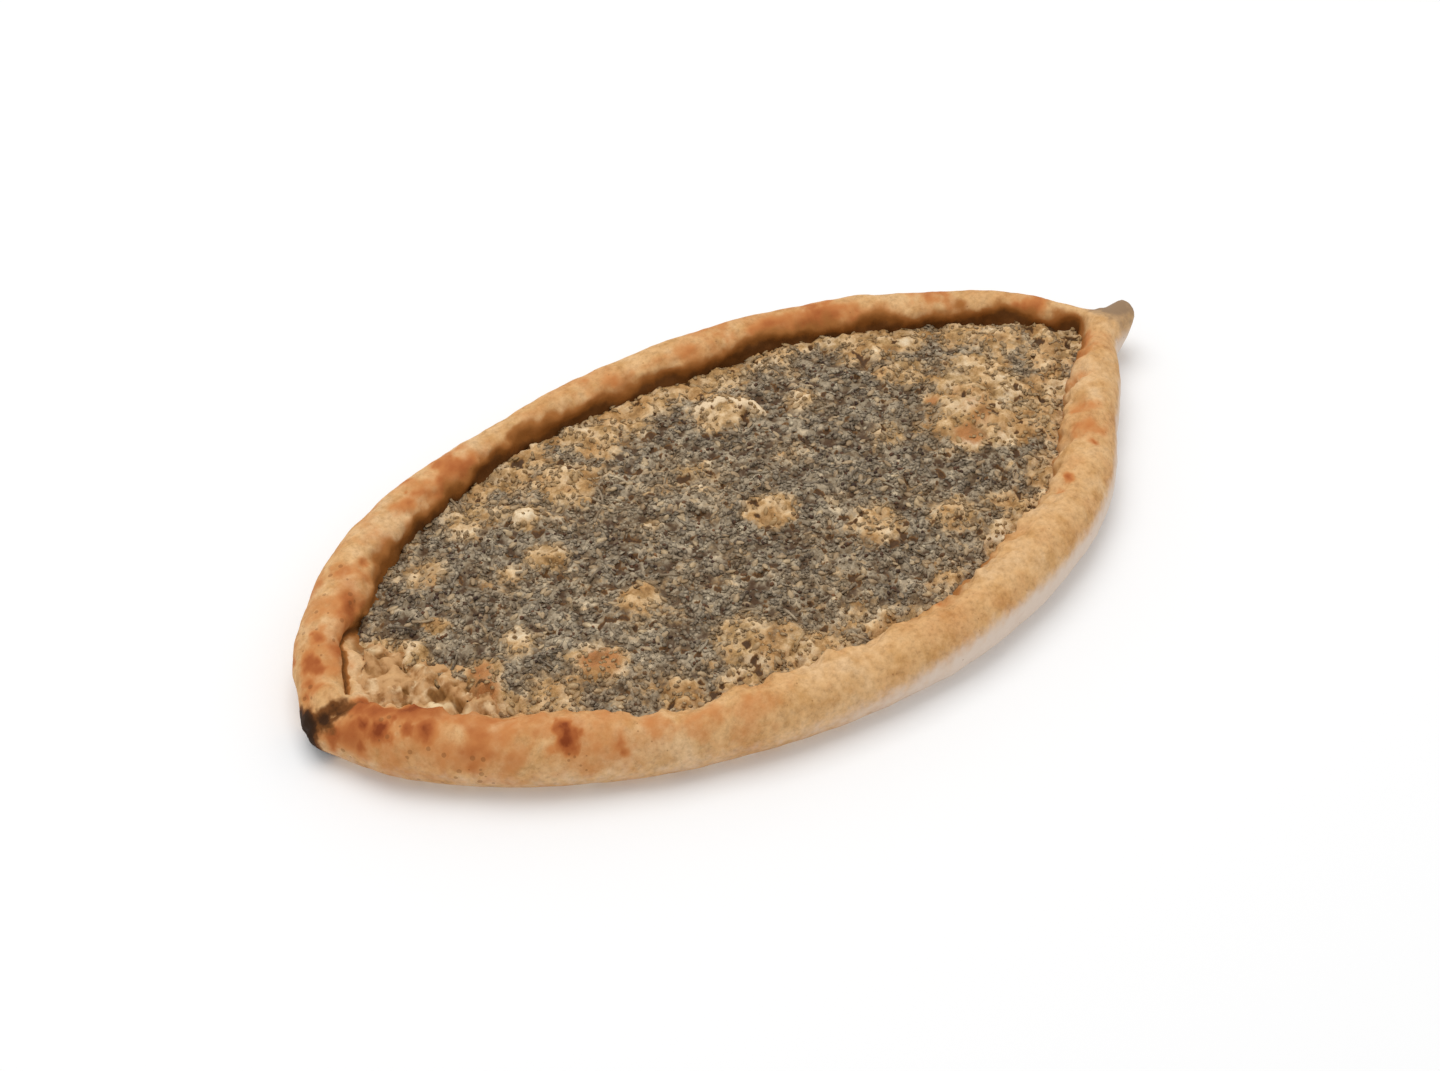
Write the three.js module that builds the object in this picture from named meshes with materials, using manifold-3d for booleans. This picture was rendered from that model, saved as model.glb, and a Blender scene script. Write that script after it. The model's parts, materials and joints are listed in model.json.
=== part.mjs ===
// Boat-shaped zaatar flatbread, in millimetres, +Z up.
// X runs along the loaf from its pinched left tip to the small dough tail on its right tip, and Y across it.
// The dough is one baked piece: a flat-bottomed sheet whose edge is rolled up into a round rim and pinched
// together at both tips. The zaatar topping is a thin layer of herbs, oil and sesame spread inside the rim.

import * as THREE from "three";
import { mergeVertices } from "three/addons/utils/BufferGeometryUtils.js";
import Module from "manifold-3d";

const wasm = await Module();
wasm.setup();

// Driving dimensions.
const RIM_BELLY_Z = 7.6; // height at which the rolled rim is widest
const RIM_BELLY_DROP = 1.15; // how far the roll's round would reach below its belly, as a share of its height
const RIM_TUCK = 0.34; // how far the roll's inner side tucks back under itself
const FINGER_MARKS = [[23, 0.2], [41, 0.15]]; // waves in the pressed roll: radians along the edge, and depth
const FLOOR_EDGE_Z = 6.2; // dough sheet where it meets the rim
const FLOOR_RISE = 1.5; // how much the sheet has puffed up towards its middle
const PUFF_START = 14; // distance in from the outer edge at which it starts to rise
const PUFF_RUN = 16; // distance over which it rises
const FOOT_INSET = 5; // the sheet's own edge, hidden inside the roll
const SHEET_START = 0.02; // shares of the edge between which the sheet runs, its ends hidden in the tips
const SHEET_END = 0.985;
const TOPPING_THICKNESS = 1.9;
const TOPPING_GAP = 0.3; // clearance between the topping's solid and the dough's
const PLUG_HEIGHT = 20; // height of the cutter that trims the topping

// The loaf's outer edge, from the left tip to the right one, as smooth curves through a few points.
// Each point gives x, y, the width of the roll there and the height of its crest above the table.
const FAR_EDGE = [
  [-119.5, 2, 11, 12], [-111.7, 19.5, 14.5, 15], [-84, 45, 14, 15.5], [-40, 58, 11, 14.5], [13, 60.7, 13, 15],
  [60, 49.8, 12, 14.8], [80, 38.8, 11, 14.2], [97, 27.5, 9.5, 14.2], [112, 6, 6, 13.5],
];
const NEAR_EDGE = [
  [-119, -4, 11, 12], [-110.7, -20.7, 14, 14.5], [-83.5, -44.3, 14.5, 15.5], [-40, -62.6, 13, 15],
  [12, -67.7, 14.5, 15.5], [60.4, -53.6, 15, 16.5], [96, -22, 13.5, 16], [112.7, -1.5, 7.6, 14.5],
];

// The topping's own spread edge: it stops short of both tips, where the sheet stays bare.
const TOPPING_EDGE = [
  [-99, 16], [-78, 36], [-40, 54], [14, 55], [62, 42], [92, 27], [106, 14], [108, 4],
  [101, -10], [86, -24], [66, -36], [44, -46], [12, -57], [-36, -56], [-64, -46], [-78, -30], [-86, -8], [-90, 4],
];

// Blisters where steam lifted the sheet: x, y, radius and height.
const BLISTERS = [
  [1, -5, 6, 1.1], [-40, -13, 6, 1.2], [-50, 11, 5, 0.9], [-46, 26, 5, 1.0], [-33, 31, 9, 1.2],
  [16, 30, 8, 1.6], [32, 22, 6, 1.0], [59, 30, 9, 1.8], [40, 0, 6, 0.8], [61, -6, 14, 2.2],
  [17, -24, 9, 1.3], [35, -33, 9, 1.4], [87, 12, 9, 1.4], [-16, 41, 7, 1.0], [3, 45, 6, 0.8],
  [-61, -25, 9, 1.8], [-84, -17, 8, 1.6], [-27, -40, 11, 1.6], [-98, 1, 11, 1.8], [74, -20, 8, 1.4],
];

// The small twisted tail of dough on the right tip: its centre line's ends, width, taper, sag and twist.
const TAIL_START = [107, -0.5, 8.6];
const TAIL_END = [119, 1.5, 10.8];
const TAIL_START_HALF = 6.4;
const TAIL_END_HALF = 3.8;
const TAIL_LIP_HALF = 3;
const TAIL_SAG = 1.2;
const TAIL_TWIST = 0.5;

// The knob where both ends of the roll are pinched shut at the left tip: its centre and half sizes.
const KNOB_CENTRE = [-112.5, -1, 6.2];
const KNOB_HALF = [8.2, 9, 6.2];

// Fineness of the meshes.
const RIM_STATIONS = 46;
const RIM_SIDES = 13;
const SHEET_STEPS = 40;
const SHEET_RIBS = 20;
const TAIL_STEPS = 6;
const TAIL_SIDES = 12;
const KNOB_SIDES = 20;
const KNOB_RINGS = 12;
const OUTLINE_STEPS = 72;
const MERGE_WITHIN = 1e-4;

const clamp01 = (t) => Math.min(1, Math.max(0, t));
const smooth = (t) => clamp01(t) ** 2 * (3 - 2 * clamp01(t));

// A smooth flat curve through the x and y of each point.
function curveThrough(points, closed) {
  const flat = points.map(([x, y]) => new THREE.Vector3(x, y, 0));
  return new THREE.CatmullRomCurve3(flat, closed, "centripetal");
}

const farCurve = curveThrough(FAR_EDGE, false);
const nearCurve = curveThrough(NEAR_EDGE, false);

// The roll's width and crest at share u of an edge, eased from each of its points to the next.
function rollAt(curve, points, u) {
  const place = curve.getUtoTmapping(u) * (points.length - 1);
  const first = Math.min(Math.floor(place), points.length - 2);
  const share = smooth(place - first);
  const [, , width, crest] = points[first].map((value, k) => value + (points[first + 1][k] - value) * share);
  return { width, crest };
}

// The direction into the loaf at share u of an edge; side is +1 on the far edge and -1 on the near one.
function inwardAt(curve, u, side) {
  const along = curve.getTangentAt(u);
  return new THREE.Vector3(along.y, -along.x, 0).multiplyScalar(side);
}

// A closed mesh from a ring of points per station, with a flat fan over the first and last ring.
function loft(rings) {
  const sides = rings[0].length;
  const points = rings.flat();
  const faces = [];
  for (let i = 0; i + 1 < rings.length; i++) {
    for (let j = 0; j < sides; j++) {
      const a = i * sides + j;
      const b = i * sides + ((j + 1) % sides);
      faces.push(a, b, b + sides, a, b + sides, a + sides);
    }
  }
  for (const [ring, turned] of [[0, true], [rings.length - 1, false]]) {
    const centre = points.length;
    points.push(rings[ring].reduce((sum, p) => sum.add(p), new THREE.Vector3()).divideScalar(sides));
    for (let j = 0; j < sides; j++) {
      const a = ring * sides + j;
      const b = ring * sides + ((j + 1) % sides);
      faces.push(...(turned ? [b, a, centre] : [a, b, centre]));
    }
  }
  return new THREE.BufferGeometry().setFromPoints(points).setIndex(faces);
}

// A closed geometry as a solid that can be joined and cut; one that faces inwards is turned round.
function solidOf(geometry) {
  const plain = new THREE.BufferGeometry();
  plain.setAttribute("position", geometry.getAttribute("position"));
  plain.setIndex(geometry.index);
  const merged = mergeVertices(plain, MERGE_WITHIN);
  const build = (triVerts) =>
    new wasm.Manifold(new wasm.Mesh({
      numProp: 3,
      vertProperties: new Float32Array(merged.attributes.position.array),
      triVerts,
    }));
  const triVerts = new Uint32Array(merged.index.array);
  const solid = build(triVerts);
  return solid.volume() > 0 ? solid : build(triVerts.slice().reverse());
}

function geometryOf(solid) {
  const { vertProperties, triVerts, numProp } = solid.getMesh();
  const count = vertProperties.length / numProp;
  const position = new Float32Array(count * 3);
  for (let i = 0; i < count; i++) {
    position.set(vertProperties.subarray(i * numProp, i * numProp + 3), i * 3);
  }
  const geometry = new THREE.BufferGeometry()
    .setAttribute("position", new THREE.BufferAttribute(position, 3))
    .setIndex(new THREE.BufferAttribute(new Uint32Array(triVerts), 1));
  geometry.computeVertexNormals();
  return geometry;
}

// The rolled rim along one edge: round outside and on top, flat where it rests, tucked in on its inner side.
// It is a little uneven where fingers pressed it; grow makes a larger copy.
function rimRoll(curve, points, side, grow = 0) {
  const rings = [];
  for (let i = 0; i <= RIM_STATIONS; i++) {
    const u = i / RIM_STATIONS;
    const edge = curve.getPointAt(u);
    const inward = inwardAt(curve, u, side);
    const { width, crest } = rollAt(curve, points, u);
    const pressed = FINGER_MARKS.reduce((sum, [waves, depth]) => sum + depth * Math.sin(u * waves + side), 0);
    const half = width / 2 + pressed;
    const ring = [];
    for (let j = 0; j < RIM_SIDES; j++) {
      const turn = (j / RIM_SIDES) * 2 * Math.PI;
      const across = Math.cos(turn);
      const up = Math.sin(turn);
      const tucked = across < 0 && up < 0 ? 1 - RIM_TUCK * -up : 1;
      const rise = up > 0 ? (crest + pressed - RIM_BELLY_Z) * up : RIM_BELLY_Z * RIM_BELLY_DROP * up;
      const out = (half + grow) * across * tucked;
      const z = Math.max(0, RIM_BELLY_Z + rise + grow * up);
      ring.push(edge.clone().addScaledVector(inward, half - out).setZ(z));
    }
    rings.push(ring);
  }
  return solidOf(loft(rings));
}

const farRoll = (grow) => rimRoll(farCurve, FAR_EDGE, 1, grow);
const nearRoll = (grow) => rimRoll(nearCurve, NEAR_EDGE, -1, grow);

// Height of the baked sheet's top at a point inside the rim.
function floorZ(x, y, fromEdge) {
  const puff = FLOOR_RISE * smooth((fromEdge - PUFF_START) / PUFF_RUN);
  const lift = BLISTERS.reduce((most, [bx, by, radius, height]) => {
    const near = Math.hypot(x - bx, y - by) / radius;
    return Math.max(most, near < 1 ? height * (1 - near ** 2) ** 2 : 0);
  }, 0);
  return FLOOR_EDGE_Z + puff + lift;
}

// A flat-sided layer between the two edges, inset from them, with its underside and top given by functions.
function layer(inset, underside, top) {
  const rings = [];
  for (let i = 0; i <= SHEET_STEPS; i++) {
    const u = SHEET_START + ((SHEET_END - SHEET_START) * i) / SHEET_STEPS;
    const far = farCurve.getPointAt(u).addScaledVector(inwardAt(farCurve, u, 1), inset);
    const near = nearCurve.getPointAt(u).addScaledVector(inwardAt(nearCurve, u, -1), inset);
    const width = far.distanceTo(near);
    const fromTip = Math.min(u, 1 - u) * farCurve.getLength();
    const rib = [];
    for (let j = 0; j <= SHEET_RIBS; j++) {
      const share = j / SHEET_RIBS;
      const fromSide = inset + width * Math.min(share, 1 - share);
      rib.push([near.clone().lerp(far, share), Math.min(fromSide, fromTip)]);
    }
    rings.push([
      ...rib.map(([p, d]) => p.clone().setZ(top(p.x, p.y, d))),
      ...rib.reverse().map(([p, d]) => p.clone().setZ(underside(p.x, p.y, d))),
    ]);
  }
  return solidOf(loft(rings));
}

// The tail: a tapered, slightly squared lug that leaves the right tip and turns up, rounded at its lip.
function tail() {
  const [start, end] = [TAIL_START, TAIL_END].map((p) => new THREE.Vector3(...p));
  const rings = [];
  for (let i = 0; i <= TAIL_STEPS; i++) {
    const t = i / TAIL_STEPS;
    const half = i === TAIL_STEPS ? TAIL_LIP_HALF : TAIL_START_HALF + (TAIL_END_HALF - TAIL_START_HALF) * t;
    const centre = start.clone().lerp(end, t);
    centre.z -= TAIL_SAG * Math.sin(Math.PI * t);
    const ring = [];
    for (let j = 0; j < TAIL_SIDES; j++) {
      const turn = (j / TAIL_SIDES) * 2 * Math.PI + t * TAIL_TWIST;
      const reach = half / Math.sqrt(Math.max(Math.abs(Math.cos(turn)), Math.abs(Math.sin(turn))));
      ring.push(centre.clone().add(new THREE.Vector3(0, reach * Math.cos(turn), reach * Math.sin(turn))));
    }
    rings.push(ring);
  }
  return solidOf(loft(rings));
}

// The pinched knob: a plain ellipsoid, sunk in the ends of both rolls.
function knob() {
  const ball = new THREE.SphereGeometry(1, KNOB_SIDES, KNOB_RINGS);
  return solidOf(ball.rotateX(Math.PI / 2).scale(...KNOB_HALF).translate(...KNOB_CENTRE));
}

// A plug inside the topping's spread edge, taller than the loaf.
function toppingPlug() {
  const outline = curveThrough(TOPPING_EDGE, true).getSpacedPoints(OUTLINE_STEPS).slice(0, -1);
  const shape = new THREE.Shape(outline.map((p) => new THREE.Vector2(p.x, p.y)));
  return solidOf(new THREE.ExtrudeGeometry(shape, { depth: PLUG_HEIGHT, bevelEnabled: false }));
}

// The whole loaf's dough, as one solid.
function doughSolid() {
  const sheet = layer(FOOT_INSET, () => 0, floorZ);
  return farRoll().add(nearRoll()).add(sheet).add(knob()).add(tail());
}

// The topping, which follows the sheet's blisters and is cut back where the rim tucks over it.
function toppingSolid(dough) {
  const top = (x, y, d) => floorZ(x, y, d) + TOPPING_GAP + TOPPING_THICKNESS;
  const spread = layer(FOOT_INSET, () => FLOOR_EDGE_Z - TOPPING_GAP, top)
    .intersect(toppingPlug())
    .subtract(dough.translate([0, 0, TOPPING_GAP]))
    .subtract(farRoll(TOPPING_GAP))
    .subtract(nearRoll(TOPPING_GAP));
  return spread.decompose().sort((a, b) => b.volume() - a.volume())[0];
}

const baked = doughSolid();

const dough = new THREE.Mesh(
  geometryOf(baked),
  new THREE.MeshStandardMaterial({ color: 0xd0a070, roughness: 0.8, metalness: 0 }),
);
dough.name = "bread";

const topping = new THREE.Mesh(
  geometryOf(toppingSolid(baked)),
  new THREE.MeshStandardMaterial({ color: 0x6f604b, roughness: 0.6, metalness: 0 }),
);
topping.name = "zaatar_topping";

// The part's origin is the middle of its footprint, on the table.
const flatbread = new THREE.Group();
flatbread.add(dough, topping);
const box = new THREE.Box3().setFromObject(flatbread);
const middle = box.getCenter(new THREE.Vector3());
flatbread.position.set(-middle.x, -middle.y, -box.min.z);

export default flatbread;
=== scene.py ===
"""A boat-shaped zaatar flatbread: a rolled, toasted rim round a baked spread of herbs, oil and sesame.

X runs along the loaf from its charred left tip to the dough tail on its right tip, and the loaf rests
on z = 0. Lists of places on the loaf are in millimetres, and everything built from them is in metres.
"""

import functools
import json
import math

import bmesh
import bpy
import numpy as np
from bpy.props import FloatProperty, FloatVectorProperty, IntProperty, PointerProperty
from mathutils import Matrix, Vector, geometry, kdtree, noise
from mathutils.bvhtree import BVHTree

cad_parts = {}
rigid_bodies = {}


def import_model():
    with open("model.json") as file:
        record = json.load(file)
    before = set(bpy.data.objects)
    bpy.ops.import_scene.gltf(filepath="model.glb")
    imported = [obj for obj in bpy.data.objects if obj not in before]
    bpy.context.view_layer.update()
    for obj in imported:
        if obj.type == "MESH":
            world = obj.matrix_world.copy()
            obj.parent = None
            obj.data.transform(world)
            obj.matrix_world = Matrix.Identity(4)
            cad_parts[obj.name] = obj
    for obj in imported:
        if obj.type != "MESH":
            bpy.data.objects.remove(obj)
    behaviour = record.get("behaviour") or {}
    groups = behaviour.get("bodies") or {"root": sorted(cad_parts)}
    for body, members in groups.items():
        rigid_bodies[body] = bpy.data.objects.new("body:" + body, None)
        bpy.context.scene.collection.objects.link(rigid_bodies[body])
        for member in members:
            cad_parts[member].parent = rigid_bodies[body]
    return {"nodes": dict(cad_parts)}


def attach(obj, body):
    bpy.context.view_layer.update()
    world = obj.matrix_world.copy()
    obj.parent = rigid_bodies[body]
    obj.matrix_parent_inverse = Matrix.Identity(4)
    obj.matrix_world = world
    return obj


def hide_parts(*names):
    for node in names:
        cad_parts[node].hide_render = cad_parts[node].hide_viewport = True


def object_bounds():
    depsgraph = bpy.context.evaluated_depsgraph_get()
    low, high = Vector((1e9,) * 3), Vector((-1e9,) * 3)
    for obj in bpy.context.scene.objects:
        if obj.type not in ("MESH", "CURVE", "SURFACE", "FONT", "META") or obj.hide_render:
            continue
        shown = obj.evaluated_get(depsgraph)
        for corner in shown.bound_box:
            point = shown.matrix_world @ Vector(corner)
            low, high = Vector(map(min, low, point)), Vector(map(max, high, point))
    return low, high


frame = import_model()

bl_info = {
    "name": "Zaatar flatbread",
    "version": (1, 0, 0),
    "blender": (4, 5, 0),
    "location": "View3D > Sidebar > Flatbread",
    "description": "Finishes a zaatar flatbread with its crust, topping, herbs and seeds, in a plain studio",
    "category": "Object",
}

MM = 0.001
CAD_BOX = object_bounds()
BREAD = "bread"
TOPPING = "zaatar_topping"
BODY = "root"

# The grid that holds heights and distances over the footprint, the height from which rays are dropped
# onto the loaf to fill it, and how far its values are blurred to take out the CAD model's facets.
PLAN_STEP = 0.5 * MM
PLAN_MARGIN = 3 * MM
RAY_START = 0.1
FLOOR_BLUR = 1.6 * MM

# The bare corner is the low dough that the topping leaves free, inside the rim's least width.
BARE_FLOOR_TOP = 9 * MM
RIM_LEAST = 7 * MM
GAP_HALF_WIDTH = 1.5 * MM
CORNER_FADE = 11 * MM

# Blisters and thin places in the topping, where the dough shows:
# x, y, radius, extra height, share of bare dough, and how strongly the dough there is toasted.
PATCHES = [
    (2, -2, 6, 0.6, 0.85, 0.1),
    (-39.5, -9.6, 6, 0.7, 0.85, 0.15),
    (-49.2, 14.5, 5, 0.5, 0.75, 0.1),
    (-45, 29.7, 4.5, 0.6, 0.85, 0.0),
    (-31.7, 33.6, 9.5, 0.5, 0.75, 0.25),
    (14, 34, 7, 0.5, 0.75, 0.05),
    (32.8, 25.5, 5, 0.4, 0.65, 0.3),
    (60.2, 33.6, 9, 0.6, 0.75, 0.15),
    (40.8, 3.5, 5, 0.3, 0.5, 0.0),
    (62.2, -2.9, 13, 0.7, 0.95, 0.4),
    (56, -9, 6, 0.3, 0.95, 0.75),
    (58, 6, 3.5, 0.2, 0.8, 0.65),
    (70, 4, 12, 0.5, 0.8, 0.15),
    (17.4, -20.1, 7, 0.4, 0.6, 0.0),
    (35.4, -29.2, 7, 0.4, 0.6, 0.05),
    (87.6, 15.6, 7, 0.5, 0.6, 0.1),
    (-69, -4, 5, 0.4, 0.6, 0.0),
    (-81.5, -7, 5, 0.6, 0.8, 0.7),
    (24, 47, 7, 0.3, 0.65, 0.1),
    (58.6, 19.6, 6, 0.4, 0.6, 0.1),
    (97, 7, 5, 0.3, 0.6, 0.0),
    (92, 4, 7, 0.3, 0.6, 0.1),
    (76, -14, 8, 0.4, 0.65, 0.25),
    (82, -6, 7, 0.3, 0.6, 0.15),
    (-15.2, 43.1, 7, 0.4, 0.7, 0.1),
    (3.3, 48.5, 6, 0.4, 0.65, 0.1),
    (-59, 15.4, 3.5, 0.3, 0.7, 0.0),
    (-59.3, -21.1, 7, 0.7, 0.75, 0.8),
    (-84.5, -11.5, 5.5, 0.8, 0.85, 0.8),
    (-72, -22, 7, 0.3, 0.6, 0.1),
    (-26.3, -35.8, 10, 0.5, 0.6, 0.1),
    (-17.6, -46.3, 8, 0.4, 0.8, 0.1),
    (-36, -46, 7, 0.3, 0.6, 0.2),
    (65, -30.9, 7, 0.3, 0.7, 0.1),
    (46, -42, 6, 0.2, 0.6, 0.1),
    (-49.6, -38, 6, 0.3, 0.6, 0.1),
    (-23.4, 10.5, 3, 0.3, 0.5, 0.0),
    (-33.7, 49.9, 7, 0.3, 0.65, 0.1),
    (-56, 38, 7, 0.3, 0.6, 0.1),
    (-80.5, 10.8, 3, 0.4, 0.8, 0.0),
    (-91, 7, 5, 0.3, 0.7, 0.05),
    (-74, 28, 6, 0.3, 0.55, 0.1),
    (40, 48, 7, 0.3, 0.6, 0.1),
    (82, 26, 7, 0.3, 0.65, 0.05),
]

# The torn blister: a ragged pale flap that stands up from the topping, as x and y along its ridge.
TORN_RIDGE = [(10.5, 37.5), (15, 36.5), (18.5, 35.5), (21, 31), (21.5, 28)]
TORN_HALF_WIDTH = 2.6
TORN_HEIGHT = 1.5

# Lumps that stand out from the bare corner and swellings of the rim: x, y, z, radius, height.
LUMPS = [
    (-99.3, 12, 8, 6.5, 2.4),
    (-103, 6, 8, 5, 1.4),
    (-94, 15, 7, 4.5, 1.0),
    (-96, 3, 7, 5, 0.8),
    (-91, 0, 7, 4, 0.9),
    (-94, -8, 7, 5, 1.0),
    (-100, -1, 7, 5, 0.7),
    (-40.4, -48.5, 12.5, 6, 0.9),
    (-18.1, -52, 13, 7, 1.3),
    (-2, -53, 13.5, 6, 0.9),
    (24, -50, 14, 6, 0.8),
    (47, -43, 14.5, 6, 0.8),
    (-6, -44.5, 13, 8, 1.8),
    (6, -44, 13, 8, 1.6),
    (15, -43, 13, 7, 1.0),
    (92, -6, 13, 6, 0.8),
    (85, -14, 14, 5, 0.7),
    (-78.4, -36.3, 14, 4.5, 0.7),
    (-112.8, 5, 12.5, 4.5, 1.3),
    (60, 43, 12, 7, 0.7),
    (20, 52, 12, 7, 0.6),
    (-88, 28, 12, 6, 0.6),
]

# Places where the herbs lie thick right up to the rim: x, y, radius, how thick from 0 to 1.
THICK = [
    (-62, -38, 13, 0.9),
    (-50, -43, 10, 0.9),
    (27, -40, 12, 0.7),
    (14, -42, 11, 0.8),
    (-84, -3, 6, 0.8),
    (-77, 2, 9, 0.6),
    (-61, 38, 9, 0.6),
    (-72, 30, 8, 0.5),
    (-88, 0, 7, 0.8),
    (-82, 18, 9, 0.7),
    (50, 42, 9, 0.6),
    (74, 30, 7, 0.5),
]

# Small holes where bubbles burst, and broad dents pressed into the rim: x, y, z, radius, depth.
DENTS = [
    (-95.2, 11, 8, 2.2, 1.3),
    (-91.5, 12.3, 8, 2.2, 1.3),
    (-90.3, 7, 8, 1.9, 1.1),
    (-95.5, 1.4, 8, 2, 1.1),
    (-92, -5, 8, 1.9, 1.0),
    (-84.8, 34.5, 14.5, 1.8, 0.8),
    (-65.3, 49.1, 15, 1.4, 0.5),
    (10.9, -53.1, 14.5, 1.7, 0.7),
    (-11.9, -48, 12, 2.2, 0.9),
    (60.5, -39.5, 15.5, 1.3, 0.5),
    (55.9, -41.7, 15.5, 1.4, 0.5),
    (73.9, -33.5, 15.5, 1.3, 0.4),
    (88.6, -16.4, 15, 1.2, 0.4),
    (-116.2, 8.2, 11, 1.3, 0.6),
    (-98, 16.5, 11.5, 7, 2.0),
    (117, 8, 14, 5, 1.2),
    (120.5, 0.5, 7, 5, 1.2),
    (-37.3, -47.5, 12, 2.4, 0.9),
    (-26.9, -47.5, 11.5, 2.6, 1.1),
    (-21, -49.5, 12, 2, 0.9),
    (-69, -34, 13, 8, 1.0),
    (-61, -38, 13, 9, 2.7),
    (-52, -42.5, 13, 9, 2.9),
    (-45, -46, 13, 6, 0.8),
]

# Toasted patches on the crust: x, y, z, radius and strength.
TOASTED = [
    (-116.4, -4.4, 10, 8, 0.85),
    (-111.5, -9, 14, 5, 1.1),
    (-107.7, -11.8, 14.2, 7, 1.25),
    (-105, -16.5, 14.3, 4.5, 0.9),
    (-113.5, -7, 13.5, 5, 0.9),
    (-108.6, -2.2, 12, 6, 0.9),
    (-102.2, -19.1, 14.5, 5, 1.0),
    (-94, -26, 14, 12, 0.45),
    (-91.7, -27.7, 14.5, 2.6, 0.8),
    (-113.2, -10.1, 9, 4, 1.1),
    (-107.5, -16.2, 9, 10, 0.6),
    (-103, -16, 12, 13, 0.6),
    (-88, -31, 12, 11, 0.5),
    (-100.1, -24.2, 8, 11, 0.5),
    (-91.9, -31, 8, 11, 0.45),
    (-82, -38, 9, 9, 0.4),
    (-79.4, -38.5, 14, 6.5, 1.15),
    (-79.4, -38.5, 14.5, 2.6, 1.25),
    (-69.2, -43.4, 13, 6.5, 0.8),
    (-61.9, -45.9, 13, 8, 0.42),
    (-53.4, -50.5, 12.5, 9, 0.4),
    (-42, -55.6, 12.5, 9, 0.36),
    (-113.1, 7.9, 13, 4, 0.6),
    (-116.2, 8.2, 11, 2.2, 1.0),
    (-110.6, 15.5, 13.5, 8.5, 0.95),
    (-112, 18, 10, 7, 0.85),
    (-109.6, 13.5, 14, 3.5, 1.0),
    (-105.6, 19.3, 13.7, 7, 0.95),
    (-113.8, 10, 12.5, 5, 0.8),
    (-108.1, 15.5, 14, 8, 0.55),
    (-100.2, 19, 14.5, 2.6, 0.55),
    (-103, 26, 14, 8, 0.4),
    (-90.6, 34.2, 14, 6, 0.55),
    (-97, 37, 10, 8, 0.5),
    (-84.8, 34.5, 14.5, 2.6, 0.7),
    (-65.3, 49.1, 15, 2, 0.7),
    (-49.5, 51.7, 14, 10, 0.7),
    (-62, 50, 12, 8, 0.6),
    (-30, 55, 12, 9, 0.5),
    (-8, 58, 11, 9, 0.45),
    (30, 58, 11, 10, 0.55),
    (56, 48, 11, 10, 0.65),
    (82.1, 36, 12, 9, 0.6),
    (100.7, 19, 12, 7, 0.75),
    (101.5, 0, 12, 6, 0.55),
    (97, -4.5, 13, 6, 0.6),
    (91, -11, 13, 6, 0.5),
    (76, -28.5, 14, 7, 0.6),
    (82, -22, 14, 6, 0.45),
    (73.9, -33.5, 15, 2.4, 0.85),
    (60.5, -39.5, 15.5, 2.4, 0.9),
    (55.9, -41.7, 15.5, 2.6, 0.9),
    (88.6, -16.4, 15, 2.2, 0.8),
    (10.9, -53.1, 14.5, 2.6, 0.7),
    (-11.9, -47.2, 12, 3, 0.7),
]

# Places on the crust that stayed pale: x, y, z, radius, how pale from 0 to 1.
PALE = [
    (-73.4, 43.6, 13, 12, 0.9),
    (-33.4, 54.5, 13, 13, 0.8),
    (-98.3, -23, 14, 5, 0.6),
    (-100, -30, 3, 12, 0.6),
    (-108, -20, 3, 12, 0.6),
]

# Creamy crowns on the bare corner's dough, pale crumb with a painted highlight: x, y, z, radius, strength.
CREAMY = [
    (-93.6, -8.8, 9, 6, 1.0),
    (-99, -6, 9, 5, 0.6),
    (-97, 14, 10, 4.5, 0.7),
    (-90.5, 3, 10, 4, 0.6),
    (-88, -14, 9, 4, 0.6),
]

# The cleft in the left tip, where the ends of the roll were pinched shut and burnt: x, y, z.
CLEFT = [(-119.3, 4, 4), (-118, 2.6, 8), (-115.5, 0.3, 10.5), (-113, -0.4, 12), (-110, 0.2, 12.8)]
CLEFT_HALF_WIDTH = 1.9
CLEFT_DEPTH = 1.5

# Burnt places round the cleft: x, y, z, radius and strength.
CHARRED = [
    (-118.8, 4.6, 4, 9, 1.5),
    (-118, 2.6, 8, 6, 1.2),
    (-115.5, 0.3, 10.5, 5.5, 0.95),
    (-113, -0.4, 12, 5, 0.8),
    (-110.3, 0.2, 12.5, 4, 0.65),
]

# The crease between the left roll and the bare corner of dough: x, y, z.
CREASE = [(-90.5, 23.7, 9), (-96.9, 19.5, 9), (-100.6, 16.3, 9), (-104, 10.9, 9), (-108.1, 3, 10)]
CREASE_HALF_WIDTH = 1.2
CREASE_DEPTH = 1.3

# The greyer end of the tail, and the stretch along x past which the loaf is smoothed less, so that the
# tail stays sharp.
TAIL_END = (116.4, 5.4, 13)
TAIL_REACH = 12
TAIL_STRETCH = (106, 112)
TAIL_ROUNDS = 3


def linear(hex_colour):
    """An sRGB hex colour as linear red, green, blue and alpha."""
    shares = [int(hex_colour[i : i + 2], 16) / 255 for i in (1, 3, 5)]
    return (*[s / 12.92 if s <= 0.04045 else ((s + 0.055) / 1.055) ** 2.4 for s in shares], 1.0)


def rgba(colour):
    """A hex colour, or a colour from the settings, as linear red, green, blue and alpha."""
    return linear(colour) if isinstance(colour, str) else (*colour, 1.0)


def smooth(value):
    """Eases from 0 to 1 as value does, and stays there outside that range."""
    held = np.clip(value, 0, 1)
    return held * held * (3 - 2 * held)


def eased(value, start, full):
    """Eases from 0 where value is at start to 1 where it is at full. Either may be the larger."""
    return smooth((value - start) / (full - start))


# How far apart the noise is read for one seed and the next.
WANDER_STEP = 17.31
GRAINS_STEP = 9.73


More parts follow.
